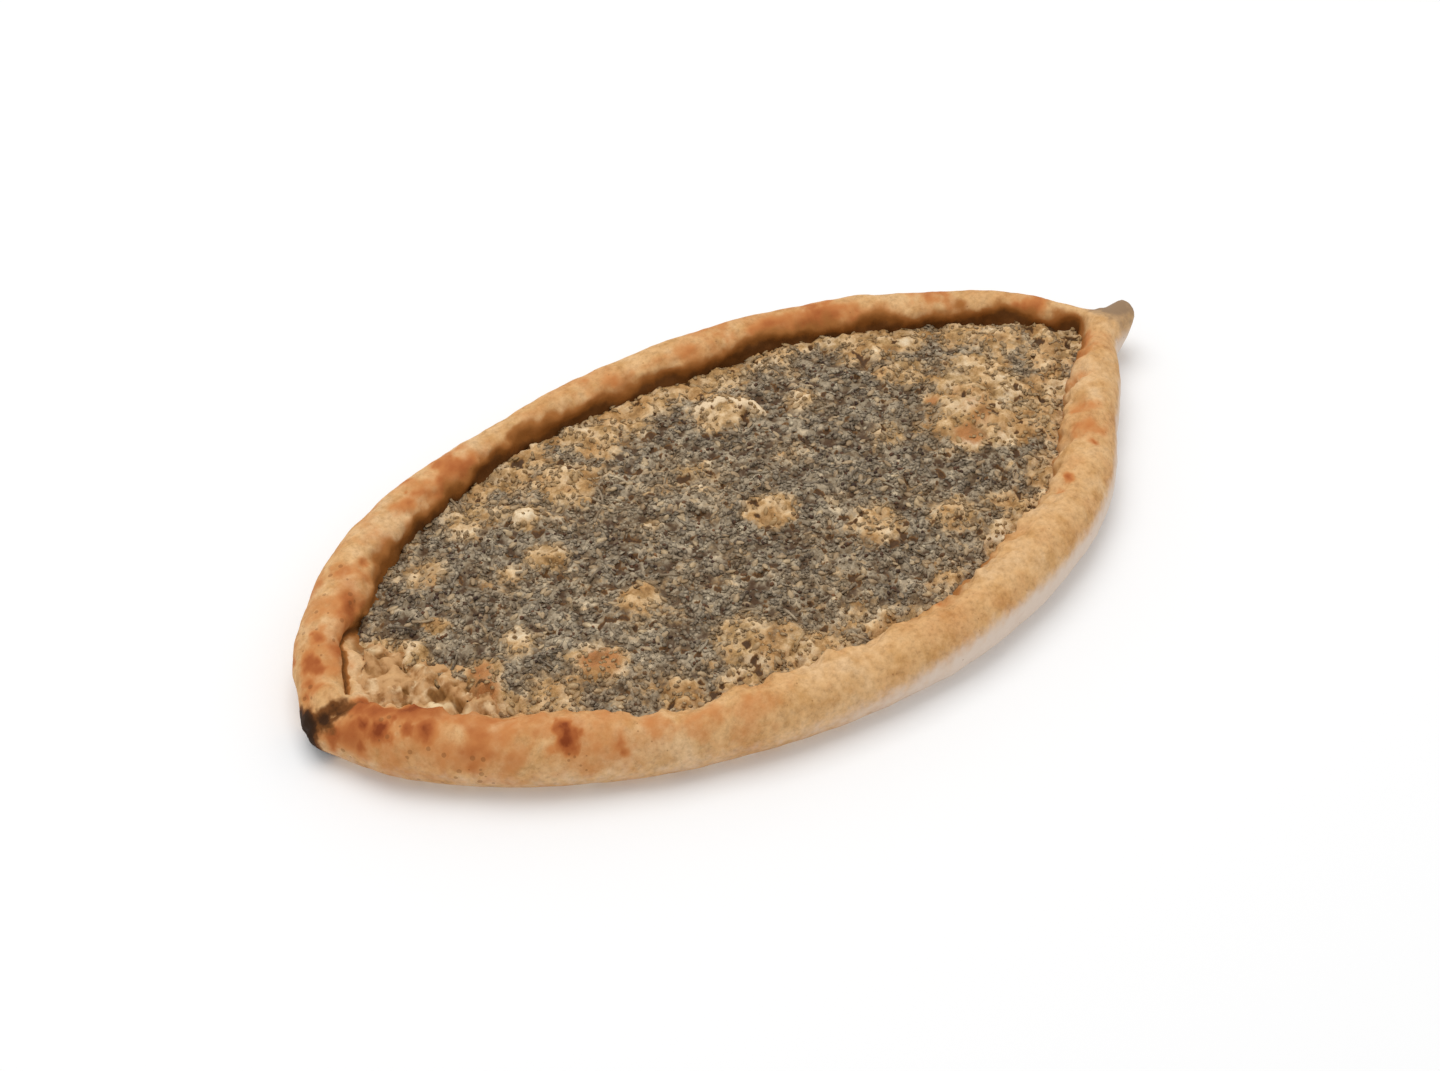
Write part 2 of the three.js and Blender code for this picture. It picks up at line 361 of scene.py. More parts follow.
def wander(points, size, seed, octaves=3):
    """Smooth noise from about -1 to 1 at each point, in features of that size."""
    scaled = (np.asarray(points) / size + seed * WANDER_STEP).tolist()
    return np.array([noise.fractal(p, 1.0, 2.0, octaves) for p in scaled])


def heights(points, size_and_height, seed, octaves=3):
    """Smooth noise of that size and height, in metres, at each point."""
    size, height = size_and_height
    return height * wander(points, size, seed, octaves)


def grains(points, size, seed, reach):
    """Grains packed side by side: 1 at each one's middle, falling to 0 at its reach, a share of the size."""
    scaled = (np.asarray(points) / size + seed * GRAINS_STEP).tolist()
    nearest = np.array([noise.voronoi(p)[0][0] for p in scaled])
    return 1 - np.clip(nearest / reach, 0, 1) ** 2


# How far a lump of dough and a bubble reach, as shares of their size, and which of a lump's heights
# from 0 to 1 counts as neither raised nor sunk.
LUMP_REACH = 0.9
BUBBLE_REACH = 0.62
LUMP_MIDDLE = 0.62


def doughy(points, size, seed):
    """Heights of rounded lumps of dough, from about -1 in the creases to 1 on the crowns."""
    bent = points + 0.16 * size * np.sin(points[:, ::-1] / (0.23 * size))
    lumps = grains(bent, size, seed, LUMP_REACH) + 0.15 * wander(points, 0.4 * size, seed, 2)
    return (lumps - LUMP_MIDDLE) / (1 - LUMP_MIDDLE)


def near_spots(points, spots, ragged=0.0):
    """The strongest spot at each point. A spot is (x, y, z, radius, strength) in millimetres."""
    most = np.zeros(len(points))
    for x, y, z, radius, strength in spots:
        away = np.linalg.norm(points - np.array((x, y, z)) * MM, axis=1) / (radius * MM)
        most = np.maximum(most, strength * smooth(1 - away - ragged))
    return most


def from_path(points, path):
    """Distance of each point to a path of straight runs, in metres. The path is in millimetres."""
    corners = np.array(path) * MM
    least = np.full(len(points), np.inf)
    for start, end in zip(corners, corners[1:]):
        run = end - start
        share = np.clip((points - start) @ run / (run @ run), 0, 1)
        least = np.minimum(least, np.linalg.norm(points - start - share[:, None] * run, axis=1))
    return least


class Plan:
    """A square grid over the loaf's footprint that holds values by x and y."""

    def __init__(self, low, high):
        self.low = np.array((low.x, low.y)) - PLAN_MARGIN
        span = np.array((high.x, high.y)) + PLAN_MARGIN - self.low
        columns, rows = np.ceil(span / PLAN_STEP).astype(int) + 1
        self.shape = (rows, columns)
        row, column = np.indices(self.shape)
        self.x = self.low[0] + column * PLAN_STEP
        self.y = self.low[1] + row * PLAN_STEP

    def top_of(self, mesh):
        """Height of a mesh's top over each grid point, and where there is one."""
        tree = BVHTree.FromPolygons([v.co for v in mesh.vertices], [tuple(p.vertices) for p in mesh.polygons])
        down = Vector((0, 0, -1))
        hits = [tree.ray_cast(Vector((x, y, RAY_START)), down)[0] for x, y in zip(self.x.flat, self.y.flat)]
        height = np.array([0 if hit is None else hit.z for hit in hits]).reshape(self.shape)
        found = np.array([hit is not None for hit in hits]).reshape(self.shape)
        return height, found

    def from_edge(self, mask):
        """Distance of each grid point from the mask's edge, positive inside the mask."""
        inner = mask.copy()
        for axis in (0, 1):
            for turn in (-1, 1):
                inner &= np.roll(mask, turn, axis)
        edge = mask & ~inner
        tree = kdtree.KDTree(int(edge.sum()))
        for i, (x, y) in enumerate(zip(self.x[edge], self.y[edge])):
            tree.insert((x, y, 0), i)
        tree.balance()
        away = [tree.find((x, y, 0))[2] for x, y in zip(self.x.flat, self.y.flat)]
        return np.array(away).reshape(self.shape) * np.where(mask, 1, -1)

    def blurred(self, values, mask, reach):
        """Values averaged with their neighbours inside the mask, and carried on past its edge."""
        half = math.ceil(3 * reach / PLAN_STEP)
        kernel = np.exp(-0.5 * (np.arange(-half, half + 1) * PLAN_STEP / reach) ** 2)

        def spread(field):
            for axis in (0, 1):
                field = np.apply_along_axis(np.convolve, axis, field, kernel, mode="same")
            return field

        weight = spread(mask.astype(float))
        total = spread(np.where(mask, values, 0.0))
        return np.divide(total, weight, out=np.zeros_like(total), where=weight > 1e-9)

    def read(self, values, x, y):
        """Values at any x and y, taken between the grid points round them."""
        rows, columns = self.shape
        column = np.clip((x - self.low[0]) / PLAN_STEP, 0, columns - 1.001)
        row = np.clip((y - self.low[1]) / PLAN_STEP, 0, rows - 1.001)
        c, r = column.astype(int), row.astype(int)
        across, up = column - c, row - r
        lower = values[r, c] * (1 - across) + values[r, c + 1] * across
        upper = values[r + 1, c] * (1 - across) + values[r + 1, c + 1] * across
        return lower * (1 - up) + upper * up


def covered_squares(mask):
    """A mask grown by one point, trimmed to whole squares, and those squares as rows of point numbers."""
    for axis in (0, 1):
        for turn in (-1, 1):
            mask = mask | np.roll(mask, turn, axis)
    filled = mask[:-1, :-1] & mask[:-1, 1:] & mask[1:, 1:] & mask[1:, :-1]
    # Two squares that touch only at a corner would pinch the shell, so the gap beside them is filled.
    while True:
        a, b, c, d = filled[:-1, :-1], filled[:-1, 1:], filled[1:, :-1], filled[1:, 1:]
        rising, falling = a & d & ~b & ~c, b & c & ~a & ~d
        if not (rising | falling).any():
            break
        b |= rising
        a |= falling
    used = np.zeros_like(mask)
    for down, right in ((0, 0), (0, 1), (1, 0), (1, 1)):
        used[down : down + filled.shape[0], right : right + filled.shape[1]] |= filled
    index = np.full(mask.shape, -1)
    index[used] = np.arange(used.sum())
    corners = (index[:-1, :-1], index[:-1, 1:], index[1:, 1:], index[1:, :-1])
    return used, np.stack([corner[filled] for corner in corners], axis=1)


def merged_copy(node):
    """A copy of a CAD node's mesh with its loose triangles joined."""
    mesh = frame["nodes"][node].data.copy()
    shape = bmesh.new()
    shape.from_mesh(mesh)
    bmesh.ops.remove_doubles(shape, verts=shape.verts, dist=0.001 * MM)
    shape.to_mesh(mesh)
    shape.free()
    mesh.materials.clear()
    return mesh


class Loaf:
    """What the pieces need to know about the loaf: heights and distances over its footprint."""

    def __init__(self):
        self.bread = merged_copy(BREAD)
        self.plan = Plan(*CAD_BOX)
        crown, loaf_mask = self.plan.top_of(self.bread)
        top, spread_mask = self.plan.top_of(merged_copy(TOPPING))
        self.floor = self.plan.blurred(crown, spread_mask, FLOOR_BLUR)
        self.top = self.plan.blurred(top, spread_mask, FLOOR_BLUR)
        self.loaf_depth = self.plan.from_edge(loaf_mask)
        self.spread_depth = self.plan.from_edge(spread_mask)
        # The way in from the loaf's outline.
        inward = self.plan.blurred(self.loaf_depth, loaf_mask, FLOOR_BLUR)
        self.inward_y, self.inward_x = np.gradient(inward, PLAN_STEP)
        # The way towards the topping, for the wall that stands round it.
        everywhere = np.ones_like(loaf_mask)
        toward = self.plan.blurred(self.spread_depth, everywhere, FLOOR_BLUR)
        self.toward_y, self.toward_x = np.gradient(toward, PLAN_STEP)
        # The corner by the left tip that the topping leaves bare, without the narrow gap beside the rim.
        uncovered = loaf_mask & ~spread_mask & (crown < BARE_FLOOR_TOP) & (self.loaf_depth > RIM_LEAST)
        middle = self.plan.from_edge(uncovered) > GAP_HALF_WIDTH
        self.corner = smooth(1 + self.plan.from_edge(middle) / CORNER_FADE)

    def at(self, name, points):
        """One of the loaf's measures at each point."""
        return self.plan.read(getattr(self, name), points[:, 0], points[:, 1])

    def facing(self, way, points, normals):
        """How far each point faces the way in or towards the topping, from -1 to 1."""
        return normals[:, 0] * self.at(way + "_x", points) + normals[:, 1] * self.at(way + "_y", points)


@functools.cache
def loaf():
    """The loaf's measures, worked out once."""
    return Loaf()


def new_object(name, mesh, material=None):
    """A mesh as an object in the scene, at the origin."""
    made = bpy.data.objects.new(name, mesh)
    bpy.context.scene.collection.objects.link(made)
    if material is not None:
        mesh.materials.clear()
        mesh.materials.append(material)
    return made


def evaluated_mesh(host):
    """The mesh that an object's modifiers make, as a plain mesh."""
    bpy.context.view_layer.update()
    return bpy.data.meshes.new_from_object(host.evaluated_get(bpy.context.evaluated_depsgraph_get()))


def drop(made):
    """Removes a helper object and its mesh."""
    mesh = made.data
    bpy.data.objects.remove(made)
    bpy.data.meshes.remove(mesh)


def rows_of(values, name):
    """Three numbers from each of a mesh's values, as an array of rows."""
    flat = np.zeros(len(values) * 3)
    values.foreach_get(name, flat)
    return flat.reshape(-1, 3)


def points_of(mesh):
    """A mesh's points as an array of rows."""
    return rows_of(mesh.vertices, "co")


def normals_of(mesh):
    """A mesh's point normals as an array of rows."""
    return rows_of(mesh.vertex_normals, "vector")


def set_points(mesh, points):
    """Moves a mesh's points."""
    mesh.vertices.foreach_set("co", points.ravel())
    mesh.update()


def store(mesh, name, values):
    """Keeps one number per point on the mesh, for its material and for scattering."""
    kept = mesh.attributes.new(name, "FLOAT", "POINT")
    kept.data.foreach_set("value", np.ascontiguousarray(values, dtype=np.float32))


def relaxed(mesh, rounds):
    """Points after each has moved halfway to the middle of its neighbours, that many times."""
    points = points_of(mesh)
    flat = np.zeros(len(mesh.edges) * 2, dtype=np.int64)
    mesh.edges.foreach_get("vertices", flat)
    ends = flat.reshape(-1, 2)
    here = np.concatenate((ends[:, 0], ends[:, 1]))
    there = np.concatenate((ends[:, 1], ends[:, 0]))
    count = np.maximum(np.bincount(here, minlength=len(points)), 1)
    for _ in range(rounds):
        sums = [np.bincount(here, weights=points[there, k], minlength=len(points)) for k in range(3)]
        points = points + (np.stack(sums, axis=1) / count[:, None] - points) * 0.5
    return points


def remeshed(mesh, size):
    """The mesh rebuilt in even squares of that size."""
    host = new_object("remesh_helper", mesh)
    rebuild = host.modifiers.new("Remesh", "REMESH")
    rebuild.mode = "VOXEL"
    rebuild.voxel_size = size
    made = evaluated_mesh(host)
    drop(host)
    return made


def shade_smooth(mesh):
    """Smooth shading over the whole mesh."""
    mesh.polygons.foreach_set("use_smooth", np.ones(len(mesh.polygons), dtype=bool))
    mesh.update()


def finish_piece(piece, node):
    """Fixes a piece to the loaf's body and hides the CAD node that it takes the place of."""
    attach(piece, BODY)
    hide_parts(node)


# Materials


def add(tree, kind, inputs=(), stops=(), **settings):
    """Adds a node with its settings, its inputs set or linked, and its ramp's stops."""
    made = tree.nodes.new(kind)
    for name, value in settings.items():
        setattr(made, name, value)
    for name, value in dict(inputs).items():
        if isinstance(value, bpy.types.NodeSocket):
            tree.links.new(value, made.inputs[name])
        else:
            made.inputs[name].default_value = value
    if stops:
        ramp = made.color_ramp
        while len(ramp.elements) < len(stops):
            ramp.elements.new(1.0)
        for element, (place, colour) in zip(ramp.elements, stops):
            element.position = place
            element.color = rgba(colour)
    return made


def per_metre(size_mm):
    """The scale that gives a texture features of that size in millimetres."""
    return 1000 / size_mm


def new_material(name, roughness, specular):
    """A node material with only a Principled shader, and its tree and shader."""
    material = bpy.data.materials.new(name)
    material.use_nodes = True
    tree = material.node_tree
    tree.nodes.clear()
    shader = add(tree, "ShaderNodeBsdfPrincipled", {"Roughness": roughness, "Specular IOR Level": specular})
    add(tree, "ShaderNodeOutputMaterial", {"Surface": shader.outputs["BSDF"]})
    return material, tree, shader


# The colour Mix node's sockets by number, because its names are shared with its other kinds of value.
MIX_SHARE, MIX_A, MIX_B, MIX_RESULT = 0, 6, 7, 2
OVERLAY = {"data_type": "RGBA"}
DARKEN = {"data_type": "RGBA", "blend_type": "MULTIPLY"}


def layered(tree, place, colour, layers):
    """Lays colours over one another where attributes are high, with a ragged edge to each.

    A layer is (attribute, colour, grain in mm, raggedness, where it starts, where it is full).
    """
    for name, tone, grain, ragged, start, full in layers:
        share = add(tree, "ShaderNodeAttribute", attribute_name=name)
        texture = add(tree, "ShaderNodeTexNoise", {"Vector": place, "Scale": per_metre(grain), "Detail": 4.0})
        centred = add(tree, "ShaderNodeMath", {0: texture.outputs["Fac"], 1: 0.5}, operation="SUBTRACT")
        moved = {0: centred.outputs[0], 1: ragged, 2: share.outputs["Fac"]}
        shifted = add(tree, "ShaderNodeMath", moved, operation="MULTIPLY_ADD")
        span = {"Value": shifted.outputs[0], "From Min": start, "From Max": full}
        edge = add(tree, "ShaderNodeMapRange", span, interpolation_type="SMOOTHSTEP")
        laid = {MIX_SHARE: edge.outputs["Result"], MIX_A: colour, MIX_B: rgba(tone)}
        colour = add(tree, "ShaderNodeMix", laid, **OVERLAY).outputs[MIX_RESULT]
    return colour


def mottled(tree, place, colour, patterns):
    """Darkens a colour by clouds of noise.

    A pattern is (size in mm, detail, roughness, how much it darkens, the stops of its tones).
    """
    for size, detail, roughness, share, stops in patterns:
        spots = {"Vector": place, "Scale": per_metre(size), "Detail": detail, "Roughness": roughness}
        texture = add(tree, "ShaderNodeTexNoise", spots)
        tones = add(tree, "ShaderNodeValToRGB", {"Fac": texture.outputs["Fac"]}, stops=stops)
        laid = {MIX_SHARE: share, MIX_A: colour, MIX_B: tones.outputs["Color"]}
        colour = add(tree, "ShaderNodeMix", laid, **DARKEN).outputs[MIX_RESULT]
    return colour


def toasted_crust(settings):
    """Baked wheat dough: matt, golden, mottled, with darker toasted spots and a little flour."""
    material, tree, shader = new_material("toasted_wheat_crust", roughness=0.72, specular=0.12)
    place = add(tree, "ShaderNodeTexCoord").outputs["Object"]
    # Broad clouds, a finger's width apart, between paler and more golden crust.
    spots = {"Vector": place, "Scale": per_metre(16), "Detail": 5.0, "Roughness": 0.6}
    clouds = add(tree, "ShaderNodeTexNoise", spots)
    golden = [(0.3, "#e8c498"), (0.5, settings.crust_colour), (0.72, "#d69f68")]
    broad = add(tree, "ShaderNodeValToRGB", {"Fac": clouds.outputs["Fac"]}, stops=golden)
    # Fine mottling of the skin, and yellower patches of a few millimetres where the skin is thinner.
    patterns = [
        (1.4, 6.0, 0.75, 0.75, [(0.3, "#b9b1a8"), (0.5, "#e8e5e1"), (0.7, "#ffffff")]),
        (5, 4.0, 0.6, 0.9, [(0.36, "#e8dcc6"), (0.5, "#f9f5ee"), (0.64, "#ffffff")]),
    ]
    # Flour with painted shade and floor bounce light low on the outer side, toasting with painted shade on
    # the far rim's inner side, oil, painted shade in creases, holes and the hollow under the rim, pale crumb
    # with a painted highlight, the greyer tail end and the burnt tip.
    layers = [
        # Flour, with painted shade and floor bounce light on the low outer side.
        ("flour", settings.flour_and_shade_colour, 2.2, 0.6, 0.1, 0.9),
        # Toasting, with painted shade on the far rim's inner side.
        ("toast", "#c27d45", 4.0, 0.6, 0.02, 0.66),
        ("toast", settings.toast_colour, 3.0, 0.45, 0.35, 0.9),
        ("toast", "#7f3a17", 1.6, 0.4, 0.8, 1.15),
        ("soaked", "#c49868", 3.0, 0.5, 0.2, 0.7),
        ("soaked", "#96683a", 2.2, 3.0, 0.7, 1.6),
        ("soaked", "#e6c79b", 2.8, 3.0, 1.0, 1.8),
        # Painted shade in the clefts between lumps, in burst bubbles and in dents.
        ("fold", "#94693a", 1.8, 0.8, 0.12, 0.9),
        ("fold", "#6a4520", 1.5, 0.6, 0.65, 1.2),
        # Pale crumb with a painted highlight on the crowns of the corner's lumps.
        ("cream", "#e3ca9f", 2.5, 0.9, 0.2, 1.0),
        # Painted shade, partly oil browning, in the hollow under the rim and the crease by the corner.
        ("crevice", "#a56a35", 3.5, 0.4, 0.02, 0.35),
        ("crevice", "#84501f", 2.5, 0.4, 0.25, 0.7),
        ("crevice", "#5c3613", 2.0, 0.4, 0.65, 1.05),
        ("tail", "#90765b", 2.2, 0.7, 0.15, 0.85),
        ("char", "#6e421d", 2.4, 0.8, 0.15, 0.5),
        ("char", "#3c220d", 1.8, 0.7, 0.45, 0.8),
        ("char", settings.char_colour, 1.4, 0.6, 0.75, 1.1),
    ]
    colour = layered(tree, place, mottled(tree, place, broad.outputs["Color"], patterns), layers)
    # Faint specks of burnt flour, about a millimetre across.
    dots = add(tree, "ShaderNodeTexVoronoi", {"Vector": place, "Scale": per_metre(2.6), "Randomness": 1.0})
    share = add(tree, "ShaderNodeAttribute", attribute_name="specks")
    reach = add(tree, "ShaderNodeMath", {0: share.outputs["Fac"], 1: 0.22}, operation="MULTIPLY")
    ends = {0: dots.outputs["Distance"], 1: reach.outputs[0]}
    inside = add(tree, "ShaderNodeMath", ends, operation="LESS_THAN")
    faint = add(tree, "ShaderNodeMath", {0: inside.outputs[0], 1: 0.45}, operation="MULTIPLY")
    laid = {MIX_SHARE: faint.outputs[0], MIX_A: colour, MIX_B: linear("#7a4c26")}
    specked = add(tree, "ShaderNodeMix", laid, **OVERLAY)
    tree.links.new(specked.outputs[MIX_RESULT], shader.inputs["Base Color"])
    # Pores of the skin, and fine wrinkles where it stretched.
    spots = {"Vector": place, "Scale": per_metre(0.8), "Detail": 4.0, "Roughness": 0.65}
    pores = add(tree, "ShaderNodeTexNoise", spots)
    spots = {"Vector": place, "Scale": per_metre(4), "Detail": 5.0, "Roughness": 0.6}
    wrinkles = add(tree, "ShaderNodeTexNoise", spots)
    raised = {"Height": pores.outputs["Fac"], "Strength": 0.3, "Distance": 0.3 * MM}
    fine = add(tree, "ShaderNodeBump", raised)
    raised = {"Height": wrinkles.outputs["Fac"], "Strength": 0.35, "Distance": 0.5 * MM}
    bump = add(tree, "ShaderNodeBump", {**raised, "Normal": fine.outputs["Normal"]})
    tree.links.new(bump.outputs["Normal"], shader.inputs["Normal"])
    return material


def clumped(tree, place, own_tone):
    """A tone from 0 to 1 that follows clumps of a few millimetres, with part of each grain's own tone."""
    spots = {"Vector": place, "Scale": per_metre(4), "Detail": 5.0, "Roughness": 0.7}
    clumps = add(tree, "ShaderNodeTexNoise", spots)
    steep = add(tree, "ShaderNodeMath", {0: clumps.outputs["Fac"], 1: 2.2, 2: -0.8}, operation="MULTIPLY_ADD")
    joined = {0: own_tone, 1: 0.4, 2: steep.outputs[0]}
    return add(tree, "ShaderNodeMath", joined, operation="MULTIPLY_ADD").outputs[0]


def herb_paste(settings):
    """Ground thyme, sumac and oil baked onto dough: dark, grainy and faintly glossy with oil, thin over
    blisters.
    """
    material, tree, shader = new_material("baked_zaatar_paste", roughness=0.62, specular=0.35)
    place = add(tree, "ShaderNodeTexCoord").outputs["Object"]
    # Each crumb of herb, a millimetre and a half across, has a tone of its own.
    crumbs = add(tree, "ShaderNodeTexVoronoi", {"Vector": place, "Scale": per_metre(1.5), "Randomness": 1.0})
    tone = add(tree, "ShaderNodeSeparateColor", {"Color": crumbs.outputs["Color"]})
    darker, paler = [(0.0, "#4c371d"), (0.3, "#745e42")], [(0.8, "#b3a084"), (1.0, "#cfba98")]
    herbs = [*darker, (0.55, settings.paste_colour), *paler]
    joined = {"Fac": clumped(tree, place, tone.outputs["Red"])}
    paste = add(tree, "ShaderNodeValToRGB", joined, stops=herbs)
    # The hollows between grains are painted dark brown as shade.
    relief = add(tree, "ShaderNodeAttribute", attribute_name="relief")
    span = {"Value": relief.outputs["Fac"], "From Min": 0.0, "From Max": 0.4}
    hollow = add(tree, "ShaderNodeMapRange", span)
    laid = {MIX_SHARE: hollow.outputs["Result"], MIX_A: linear("#4a2f10"), MIX_B: paste.outputs["Color"]}
    hollow_shaded = add(tree, "ShaderNodeMix", laid, **OVERLAY)
    # Bare baked dough, soaked with oil and browned in grains of a few millimetres, laid over the paste.
    spots = {"Vector": place, "Scale": per_metre(4.6), "Detail": 6.0, "Roughness": 0.7}
    clouds = add(tree, "ShaderNodeTexNoise", spots)
    browns = [(0.34, "#8d6c3d"), (0.45, "#c19c68"), (0.54, settings.dough_colour), (0.68, "#f0dab6")]
    dough = add(tree, "ShaderNodeValToRGB", {"Fac": clouds.outputs["Fac"]}, stops=browns)
    golden = (9, 3.0, 0.5, 0.8, [(0.38, "#dcc298"), (0.5, "#f4eada"), (0.62, "#ffffff")])
    toned = mottled(tree, place, dough.outputs["Color"], [golden])
    # Painted shade: the dough is darkened where its relief is low.
    span = {"Value": relief.outputs["Fac"], "From Min": 0.0, "From Max": 0.6, "To Min": 0.6, "To Max": 1.0}
    shade = add(tree, "ShaderNodeMapRange", span)
    laid = {MIX_SHARE: 1.0, MIX_A: toned, MIX_B: shade.outputs["Result"]}
    relief_shaded = add(tree, "ShaderNodeMix", laid, **DARKEN)
    # The paste breaks up into crumbs where it gives way to the dough.
    share = add(tree, "ShaderNodeAttribute", attribute_name="bare")
    spots = {"Vector": place, "Scale": per_metre(2.4), "Detail": 5.0, "Roughness": 0.7}
    breakup = add(tree, "ShaderNodeTexNoise", spots)
    moved = {0: breakup.outputs["Fac"], 1: 1.3, 2: share.outputs["Fac"]}
    shifted = add(tree, "ShaderNodeMath", moved, operation="MULTIPLY_ADD")
    span = {"Value": shifted.outputs[0], "From Min": 0.8, "From Max": 1.25}
    edge = add(tree, "ShaderNodeMapRange", span, interpolation_type="SMOOTHSTEP")
    ends = {MIX_A: hollow_shaded.outputs[MIX_RESULT], MIX_B: relief_shaded.outputs[MIX_RESULT]}
    mixed = add(tree, "ShaderNodeMix", {MIX_SHARE: edge.outputs["Result"], **ends}, **OVERLAY)
    # Toasted blisters, the torn flap, and painted shade in the creases of the dough and in the pits.
    layers = [
        ("toast", "#b57a43", 3.0, 0.7, 0.2, 0.7),
        ("toast", "#8a4d22", 2.0, 0.8, 0.6, 1.15),
        ("torn", "#e8cda6", 1.6, 0.4, 0.3, 0.7),
        ("fold", "#7a582d", 1.5, 0.7, 0.25, 0.9),
        ("pit", "#704a1c", 0.8, 0.4, 0.2, 0.6),
        ("pit", "#4d300c", 0.8, 0.4, 0.6, 1.0),
    ]
    colour = layered(tree, place, mixed.outputs[MIX_RESULT], layers)
    tree.links.new(colour, shader.inputs["Base Color"])
    # Gritty, in grains just under a millimetre.
    spots = {"Vector": place, "Scale": per_metre(0.9), "Detail": 5.0, "Roughness": 0.7}
    grit = add(tree, "ShaderNodeTexNoise", spots)
    raised = {"Height": grit.outputs["Fac"], "Strength": 0.7, "Distance": 0.5 * MM}
    bump = add(tree, "ShaderNodeBump", raised)
    tree.links.new(bump.outputs["Normal"], shader.inputs["Normal"])
    return material


def tinted(name, stops, roughness, grain_mm):
    """A dried-plant finish whose colour runs along the stops from one bit to the next."""
    material, tree, shader = new_material(name, roughness, specular=0.4)
    place = add(tree, "ShaderNodeTexCoord").outputs["Object"]
    tint = add(tree, "ShaderNodeAttribute", attribute_name="tint")
    ramp = add(tree, "ShaderNodeValToRGB", {"Fac": clumped(tree, place, tint.outputs["Fac"])}, stops=stops)
    # Where the dough is bare, oil has carried its golden brown into what lies on it.
    bare = add(tree, "ShaderNodeAttribute", attribute_name="bare")
    span = {"Value": bare.outputs["Fac"], "From Min": 0.1, "From Max": 0.75, "To Max": 0.75}
    soaked = add(tree, "ShaderNodeMapRange", span)
    laid = {MIX_SHARE: soaked.outputs["Result"], MIX_A: ramp.outputs["Color"], MIX_B: linear("#b8935f")}
    warmed = add(tree, "ShaderNodeMix", laid, **OVERLAY)
    # A fine grain, seen as lighter and darker spots and raised a little.
    grain = add(tree, "ShaderNodeTexNoise", {"Vector": place, "Scale": per_metre(grain_mm), "Detail": 3.0})
    tones = [(0.3, "#b4aea6"), (0.7, "#ffffff")]
    shade = add(tree, "ShaderNodeValToRGB", {"Fac": grain.outputs["Fac"]}, stops=tones)
    laid = {MIX_SHARE: 0.6, MIX_A: warmed.outputs[MIX_RESULT], MIX_B: shade.outputs["Color"]}
    mixed = add(tree, "ShaderNodeMix", laid, **DARKEN)
    tree.links.new(mixed.outputs[MIX_RESULT], shader.inputs["Base Color"])
    raised = {"Height": grain.outputs["Fac"], "Strength": 0.4, "Distance": 0.15 * MM}
    bump = add(tree, "ShaderNodeBump", raised)
    tree.links.new(bump.outputs["Normal"], shader.inputs["Normal"])
    return material


def dried_thyme():
    """Crushed, oven-dried thyme leaf: grey green turned brown, dull with a little oil."""
    stops = [(0.0, "#503f2b"), (0.3, "#796955"), (0.6, "#998a74"), (0.85, "#b9a98e"), (1.0, "#d6c5a5")]
    return tinted("dried_thyme_leaf", stops, 0.75, 0.6)


def toasted_sesame():
    """Hulled sesame seed toasted in oil: cream to light brown with a soft gloss."""
    stops = [(0.0, "#8a7050"), (0.4, "#a98f6c"), (0.8, "#c4ab84"), (1.0, "#d8c29b")]
    return tinted("toasted_sesame", stops, 0.5, 0.8)


def ground_sumac():
    """Coarse sumac and dark herb grit: red brown to nearly black, matt."""
    stops = [(0.0, "#2a190d"), (0.5, "#4a2e19"), (0.85, "#6b4426"), (1.0, "#8a5a34")]
    return tinted("ground_sumac", stops, 0.7, 0.5)


# Scattering


